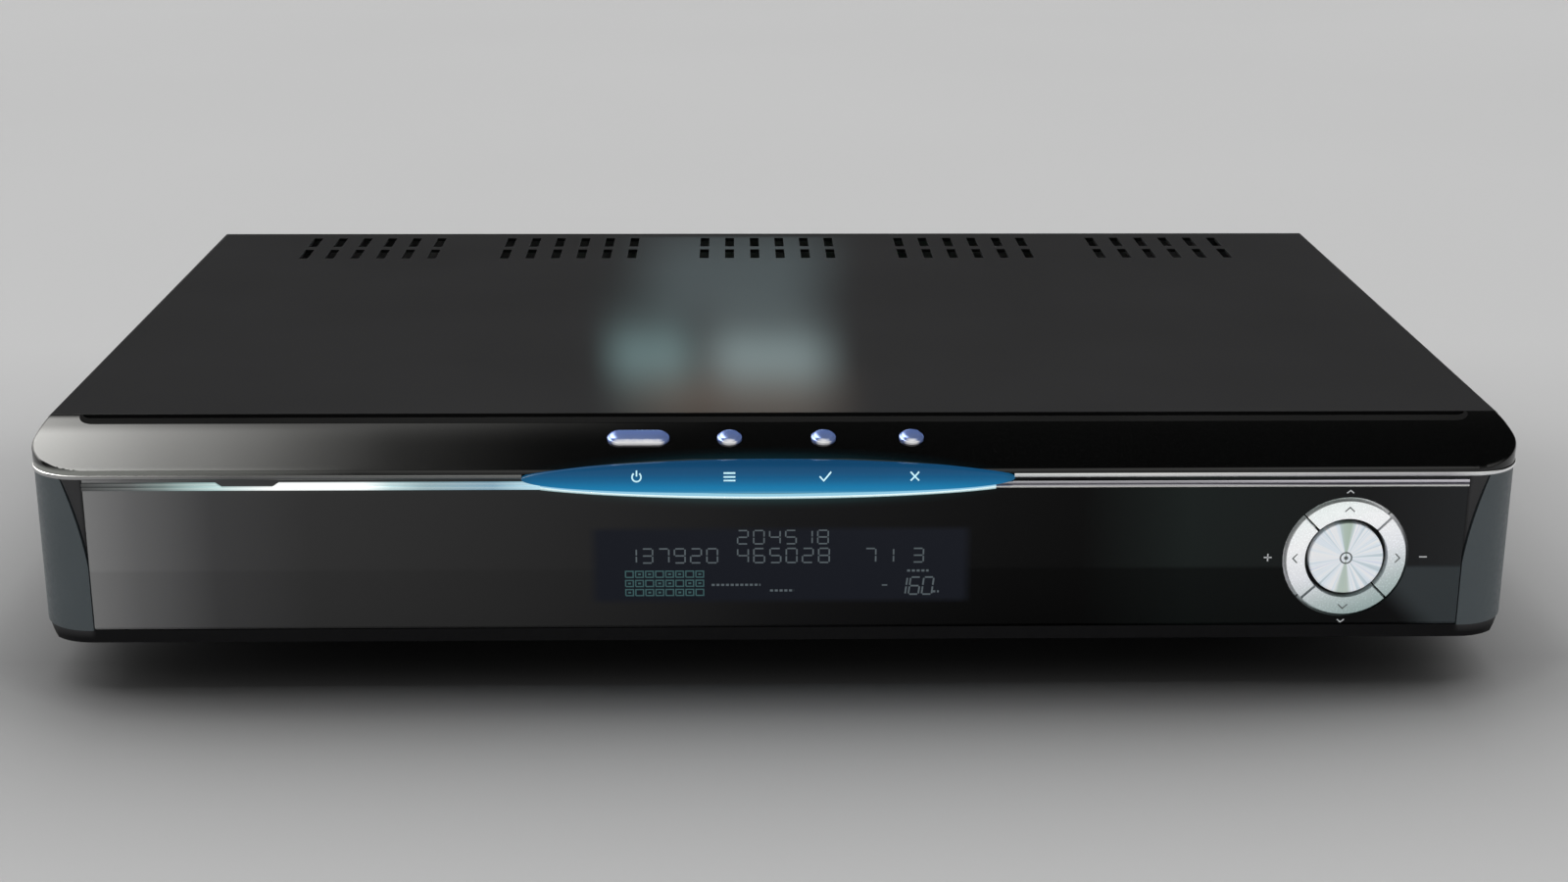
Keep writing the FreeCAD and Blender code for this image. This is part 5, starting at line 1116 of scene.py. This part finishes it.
def storage_socket():
    """Flat socket with a pale tongue and four contacts."""
    spot = at_rear(middle_of("usb_socket")[0], board_top)
    outline = rounded(6.55, 3.1, 0.9, 4) + [0, 3.1]
    return [(shell(outline, drawn_in(outline, 0.5), -13.4, proud, -12.0), spot, "tin_can"),
            bar(0, 4.3, 11.0, 1.4, -12.5, -1.0, "pale_plastic", spot),
            *(bar(x, 3.56, 1.1, 0.1, -11.0, -1.6, "brass_pin", spot) for x in (-3.5, -1.0, 1.0, 3.5)),
            *(bar(x, 0.62, 2.2, 0.3, -6.0, -0.4, "tin_can", spot) for x in (-3.2, 3.2))]


def network_jack():
    """Screened jack: stepped opening with a dark lining, eight sprung wires and two lamps."""
    mid_x = middle_of("network_socket")[0]
    spot = at_rear(mid_x, board_top)
    half = np.array([(5.9, 11.4), (5.9, 4.2), (3.1, 4.2), (3.1, 1.6)])
    inner = np.concatenate([half * [-1, 1], half[::-1]])
    outer = [(-8, 13.4), (-8, 4.2), (-8, 0), (-3.1, 0), (3.1, 0), (8, 0), (8, 4.2), (8, 13.4)]
    lining = inner + 0.3 * np.array([(1, -1), (1, 1), (1, 1), (1, 1), (-1, 1), (-1, 1), (-1, 1), (-1, -1)])
    wires = cushion(0.36, 8.2, -0.15, 0.15, 0.1, 0.08, 3, 3)

    def sprung(x):
        """Frame of one wire: it leans down from the mouth towards the back."""
        return lambda points: put(points, (x, rear_y - 5.4, board_top + 8.6), (1, 0, 0), (0, -0.83, -0.56),
                                  (0, -0.56, 0.83))

    return [(shell(outer, inner, -15.0, proud, -11.2), spot, "tin_can"),
            (shell(inner, lining, -11.2, proud - 0.25, -10.9, 0.05), spot, "black_plastic"),
            *((wires, sprung(mid_x + (i - 3.5) * 1.02), "brass_pin") for i in range(8)),
            *(bar(side * 6.3, 12.35, 2.0, 1.2, 0.2, 0.85, "lamp_clear", spot) for side in (-1, 1))]


def optical_outlet():
    """Square outlet with a six-sided mouth and a sprung door inside it."""
    spot = at_rear(middle_of("optical_socket")[0], board_top)
    mouth = np.array([(-3.0, 1.6), (3.0, 1.6), (3.0, 6.0), (1.4, 7.6), (-1.4, 7.6), (-3.0, 6.0)])
    outer = [(-4.7, 0), (4.7, 0), (4.7, 6.0), (4.7, 9.4), (-4.7, 9.4), (-4.7, 6.0)]
    door = drawn_in(mouth, 0.12)
    return [(shell(outer, mouth, -12.0, proud, -5.0), spot, "black_plastic"),
            (shell(door, drawn_in(door, 0.7), -4.9, -1.6, -1.8), spot, "grey_plastic"),
            bar(0, 6.9, 2.6, 0.5, -2.0, -1.3, "grey_plastic", spot)]


def data_socket():
    """D-shaped shell on a flange, with nine pins and two threaded hexagon posts."""
    mid_x, mid_z = middle_of("serial_socket")[0], board_top + 6.1
    post_reach = corners("serial_socket")[1][1] - rear_y - 0.2
    spot = at_rear(mid_x, mid_z)
    steps = np.linspace(0, 1, 5)[:-1, None]
    corner = np.array([(-8.6, 4.0), (-7.4, -4.0), (7.4, -4.0), (8.6, 4.0)], float)
    outline = np.concatenate([a + (b - a) * steps for a, b in zip(corner, np.roll(corner, -1, 0))])
    shapes = [(shell(outline, drawn_in(outline, 0.45), -2.0, 5.6, 1.0), spot, "tin_can"),
              (shell(drawn_in(outline, 0.5), drawn_in(outline, 0.9), 0.2, 1.6, 1.5), spot, "black_plastic")]
    points, faces = turned([(0.0, 0.5), (0.5, 0.5), (0.5, 4.6), (0.35, 5.0), (0.0, 5.1)], 16)
    for row, count in ((1.4, 5), (-1.4, 4)):
        shapes += [((points + np.array([(i - (count - 1) / 2) * 2.76, row, 0]), faces), spot, "brass_pin")
                   for i in range(count)]
    for side in (-1, 1):
        post = at_rear(mid_x + side * 12.5, mid_z)
        shapes += [(hex_nut(2.3, -1.0, post_reach, 1.2, 24), post, "nickel"),
                   (thread(1.3, -1.0, post_reach - 1.2, 0.5, 0.15, 16), post, "screw_steel")]
    return shapes + [bar(0, 0.1, 30.4, 12.4, -2.0, -1.0, "tin_can", spot),
                     bar(0, -0.6, 26.0, 11.0, -10.0, -1.9, "black_plastic", spot)]


made("aerial_sockets", aerial_sockets(), "case", ["f_connectors"])
made("phono_block", phono_block(), "case", ["phono_sockets"])
for name, shapes, node in (("picture_socket", picture_socket(), "hdmi_socket"),
                           ("storage_socket", storage_socket(), "usb_socket"),
                           ("network_jack", network_jack(), "network_socket"),
                           ("optical_outlet", optical_outlet(), "optical_socket"),
                           ("data_socket", data_socket(), "serial_socket")):
    made(name, shapes, "case", [node])


# ---------------------------------------------------------------- rear: mains switch and inlet
def rocker_face(side):
    """Frame on one half of the rocker's V face, at rest tilted to its lower stop."""
    housing_x, _, housing_z = middle_of("switch_housing")
    pivot_y, slope, tilt = 108.5, (1.0, 4.1), math.radians(-9.0)
    turn = np.array([[math.cos(tilt), -math.sin(tilt)], [math.sin(tilt), math.cos(tilt)]])
    up = turn @ np.array([side * slope[0], slope[1]]) / math.hypot(*slope)
    out = turn @ np.array([slope[1], -side * slope[0]]) / math.hypot(*slope)
    middle = turn @ np.array([6.1, side * 2.05])
    return lambda points: put(points, (housing_x, pivot_y + middle[0], housing_z + middle[1]), (1, 0, 0),
                              (0, *up), (0, *out))


made("rocker_signs", [(stroke([(0, -0.9), (0, 0.9)], 0.45, -0.1, 0.06), rocker_face(1), "sign_white"),
                      (stroke(arc_path(0.95, 0, 360), 0.4, -0.1, 0.06), rocker_face(-1), "sign_white")],
     "mains_rocker")
for node, ease in (("mains_inlet", 0.35), ("switch_housing", 0.35), ("feet", 0.5), ("foot_pads", 0.4),
                   ("rear_panel", 0.12), ("base_tray", 0.2), ("top_cover", 0.25), ("front_frame", 0.2),
                   ("inlet_pins", 0.25)):
    faired(node, ease=ease)
faired("mains_rocker", "mains_rocker", ease=0.35)


# ---------------------------------------------------------------- staging: floor, light, camera, in metres
def placed(name, data):
    """A new object with that data, in the scene."""
    thing = bpy.data.objects.new(name, data)
    scene.collection.objects.link(thing)
    return thing


def flat_card(name, corner_points, material):
    """One four-cornered face."""
    mesh = bpy.data.meshes.new(name)
    mesh.from_pydata([tuple(p) for p in corner_points], [], [(0, 1, 2, 3)])
    mesh.materials.append(material)
    return placed(name, mesh)


def studio_floor():
    """Pale floor with a painted shadow: its tone deepens softly towards the object from all four sides."""
    tree, surface = shader("studio_floor", (0.52, 0.52, 0.52), 0.6, sockets=matt)
    # painted shadow: a darkening round the object, over the shadow the lamps cast
    near = times(tree, along(tree, "X", -360.0, -160.0), along(tree, "X", 360.0, 160.0),
                 along(tree, "Y", -250.0, -105.0), along(tree, "Y", 200.0, 60.0))
    shade = tones(tree, near, [(0.0, 0.0), (0.26, 0.065), (0.51, 0.143), (0.655, 0.20), (0.76, 0.28),
                               (0.807, 0.375), (0.90, 0.48), (0.97, 0.58), (1.0, 0.60)])
    plain = tones(tree, noise(tree, 2.0), [(0.3, 0.515), (0.7, 0.53)])
    dress(tree, surface, colour=lay_over(tree, shade, plain, (0.0, 0.0, 0.0)))
    half = 8.0
    return flat_card("studio_floor", [(-half, -half, 0), (half, -half, 0), (half, half, 0), (-half, half, 0)],
                     finish["studio_floor"])


floor = studio_floor()
all_but_floor = bpy.data.collections.new("all_but_floor")
all_but_floor.objects.link(floor)
all_but_floor.collection_objects[0].light_linking.link_state = "EXCLUDE"


def glow_card(name, centre, half_wide, half_high, colour, strength, soft):
    """A soft-edged bright card for gloss to reflect: brightness fades from its middle to its rim."""
    material = bpy.data.materials.new(name)
    material.use_nodes = True
    tree = material.node_tree
    tree.nodes.clear()
    uv = wire(tree, "ShaderNodeUVMap", uv_map="UVMap").outputs["UV"]
    split = wire(tree, "ShaderNodeSeparateXYZ", {"Vector": uv})
    fade = [ranged(tree, combine(tree, "PINGPONG", split.outputs[axis], 0.5), 0.0, 0.5 * soft, smooth=True)
            for axis in ("X", "Y")]
    light = wire(tree, "ShaderNodeEmission", {"Color": (*colour, 1), "Strength": strength}).outputs[0]
    clear = wire(tree, "ShaderNodeBsdfTransparent").outputs[0]
    mix = wire(tree, "ShaderNodeMixShader", {"Fac": times(tree, *fade), 1: clear, 2: light}).outputs[0]
    wire(tree, "ShaderNodeOutputMaterial", {"Surface": mix})
    across, up = np.array([half_wide, 0, 0]), np.array([0, 0, half_high])
    card = flat_card(name, [centre + x * across + z * up for x, z in ((-1, -1), (1, -1), (1, 1), (-1, 1))],
                     material)
    card.data.uv_layers.new(name="UVMap").data.foreach_set("uv", [0, 0, 1, 0, 1, 1, 0, 1])
    card.visible_diffuse = False
    card.visible_shadow = False
    card.visible_camera = False


for name, centre, half_wide, half_high, colour, strength, soft in (
        ("card_right", (0.026, 1.50, 0.488), 0.092, 0.033, (0.74, 0.98, 1.0), 6.6, 0.75),
        ("card_left", (-0.094, 1.51, 0.488), 0.066, 0.033, (0.60, 0.98, 1.0), 5.2, 0.8),
        ("card_far", (-0.008, 1.52, 0.415), 0.126, 0.062, (0.70, 0.94, 1.0), 1.3, 0.7),
        ("card_warm", (-0.010, 1.53, 0.536), 0.150, 0.030, (1.0, 0.66, 0.46), 2.2, 0.7)):
    glow_card(name, centre, half_wide, half_high, colour, strength, soft)


def lamp(kind, name, place, target, power, **settings):
    """A lamp aimed at a point and not seen in gloss. An area lamp leaves the floor unlit."""
    data = bpy.data.lights.new(name, kind)
    data.energy = power
    for key, value in settings.items():
        setattr(data, key, value)
    fitting = placed(name, data)
    fitting.location = place
    fitting.rotation_euler = (Vector(target) - Vector(place)).to_track_quat("-Z", "Y").to_euler()
    fitting.visible_glossy = False
    if kind == "AREA":
        fitting.light_linking.receiver_collection = all_but_floor


low_centre = (0, 0, 0.02)
lamp("SUN", "top_light", (0.0, 0.866, 0.5), (0, 0, 0), 5.15, angle=math.radians(130))
lamp("AREA", "front_light", (0.0, -1.15, 0.02), low_centre, 9.8, shape="RECTANGLE", size=1.8, size_y=0.03)
for side in (-1, 1):
    lamp("AREA", "side_light", (side * 1.3, -0.1, 0.02), low_centre, 3.2, shape="RECTANGLE", size=1.2,
         size_y=0.03)


def room():
    """World: a faint fill for matt surfaces; for camera rays a plain grey; for gloss and clear rays a dark
    studio with a pale horizon, a broad soft light above the front, another high behind the left end with a
    faint tail to its right, and a glow beyond the left end."""
    world = bpy.data.worlds.new("studio")
    scene.world = world
    world.use_nodes = True
    tree = world.node_tree
    tree.nodes.clear()
    direction = wire(tree, "ShaderNodeTexCoord").outputs["Generated"]
    split = wire(tree, "ShaderNodeSeparateXYZ", {"Vector": direction})

    def step(axis, start, end, most=1.0):
        """Eased step from 0 to most along one part of the ray's direction."""
        return ranged(tree, split.outputs[axis], start, end, 0.0, most, smooth=True)

    horizon = step("Z", 0.12, 0.0, 0.45)
    above_front = times(tree, step("Y", 0.05, -0.55), step("Z", -0.05, 0.5, 0.85))
    behind = times(tree, step("Z", 0.29, 0.38), step("Y", 0.0, 0.12))
    dim = plus(tree, step("Z", 0.47, 0.62, 0.42), 0.58)
    reach = tones(tree, ranged(tree, split.outputs["X"], -0.30, -0.08), [
        (0.0, 1.1), (0.06, 0.95), (0.12, 0.76), (0.25, 0.45), (0.40, 0.28), (0.51, 0.16), (0.60, 0.085),
        (0.69, 0.034), (0.85, 0.012), (1.0, 0.0)])
    climb = ranged(tree, split.outputs["Z"], 0.35, 0.9, 3.4, 9.0)
    behind_left = times(tree, behind, dim, reach, climb)
    fall = step("X", 0.04, -0.15)
    lower = combine(tree, "SUBTRACT", 0.34, step("Z", 0.42, 0.80, 0.31))
    tail = times(tree, behind, step("X", -0.215, -0.15), fall, fall, lower)
    side_glow = times(tree, step("X", -0.38, -0.56), step("Y", -0.1, 0.15), step("Z", -0.02, 0.12, 1.6))
    studio = plus(tree, horizon, above_front, behind_left, tail, side_glow, 0.015)
    fill, plain, dark = (
        wire(tree, "ShaderNodeBackground", {"Color": (*colour, 1), "Strength": strength}).outputs[0]
        for colour, strength in (((1, 1, 1), 0.10), ((0.53, 0.53, 0.53), 1.0), ((1.0, 0.995, 0.96), studio)))
    path = wire(tree, "ShaderNodeLightPath").outputs
    shiny = combine(tree, "MAXIMUM", path["Is Glossy Ray"], path["Is Transmission Ray"])
    seen = wire(tree, "ShaderNodeMixShader", {"Fac": path["Is Camera Ray"], 1: fill, 2: plain}).outputs[0]
    seen = wire(tree, "ShaderNodeMixShader", {"Fac": shiny, 1: seen, 2: dark}).outputs[0]
    wire(tree, "ShaderNodeOutputWorld", {"Surface": seen})


room()


def aim_camera():
    """Camera above and in front, tilted down, with a slight turn and roll."""
    place, focal_length = (-0.01093, -0.6401, 0.2261), 52.75
    pitch, yaw, roll = (math.radians(a) for a in (17.46, 1.31, 0.228))
    ahead = Vector((math.sin(yaw) * math.cos(pitch), math.cos(yaw) * math.cos(pitch), -math.sin(pitch)))
    right = ahead.cross(Vector((0, 0, 1))).normalized()
    above = right.cross(ahead)
    rolled_right = right * math.cos(roll) + above * math.sin(roll)
    rolled_up = above * math.cos(roll) - right * math.sin(roll)
    data = bpy.data.cameras.new("camera")
    data.sensor_width = 36.0
    data.lens = focal_length
    data.clip_start = 0.01
    camera = placed("camera", data)
    camera.matrix_world = Matrix((rolled_right, rolled_up, -ahead)).transposed().to_4x4()
    camera.location = place
    scene.camera = camera


aim_camera()
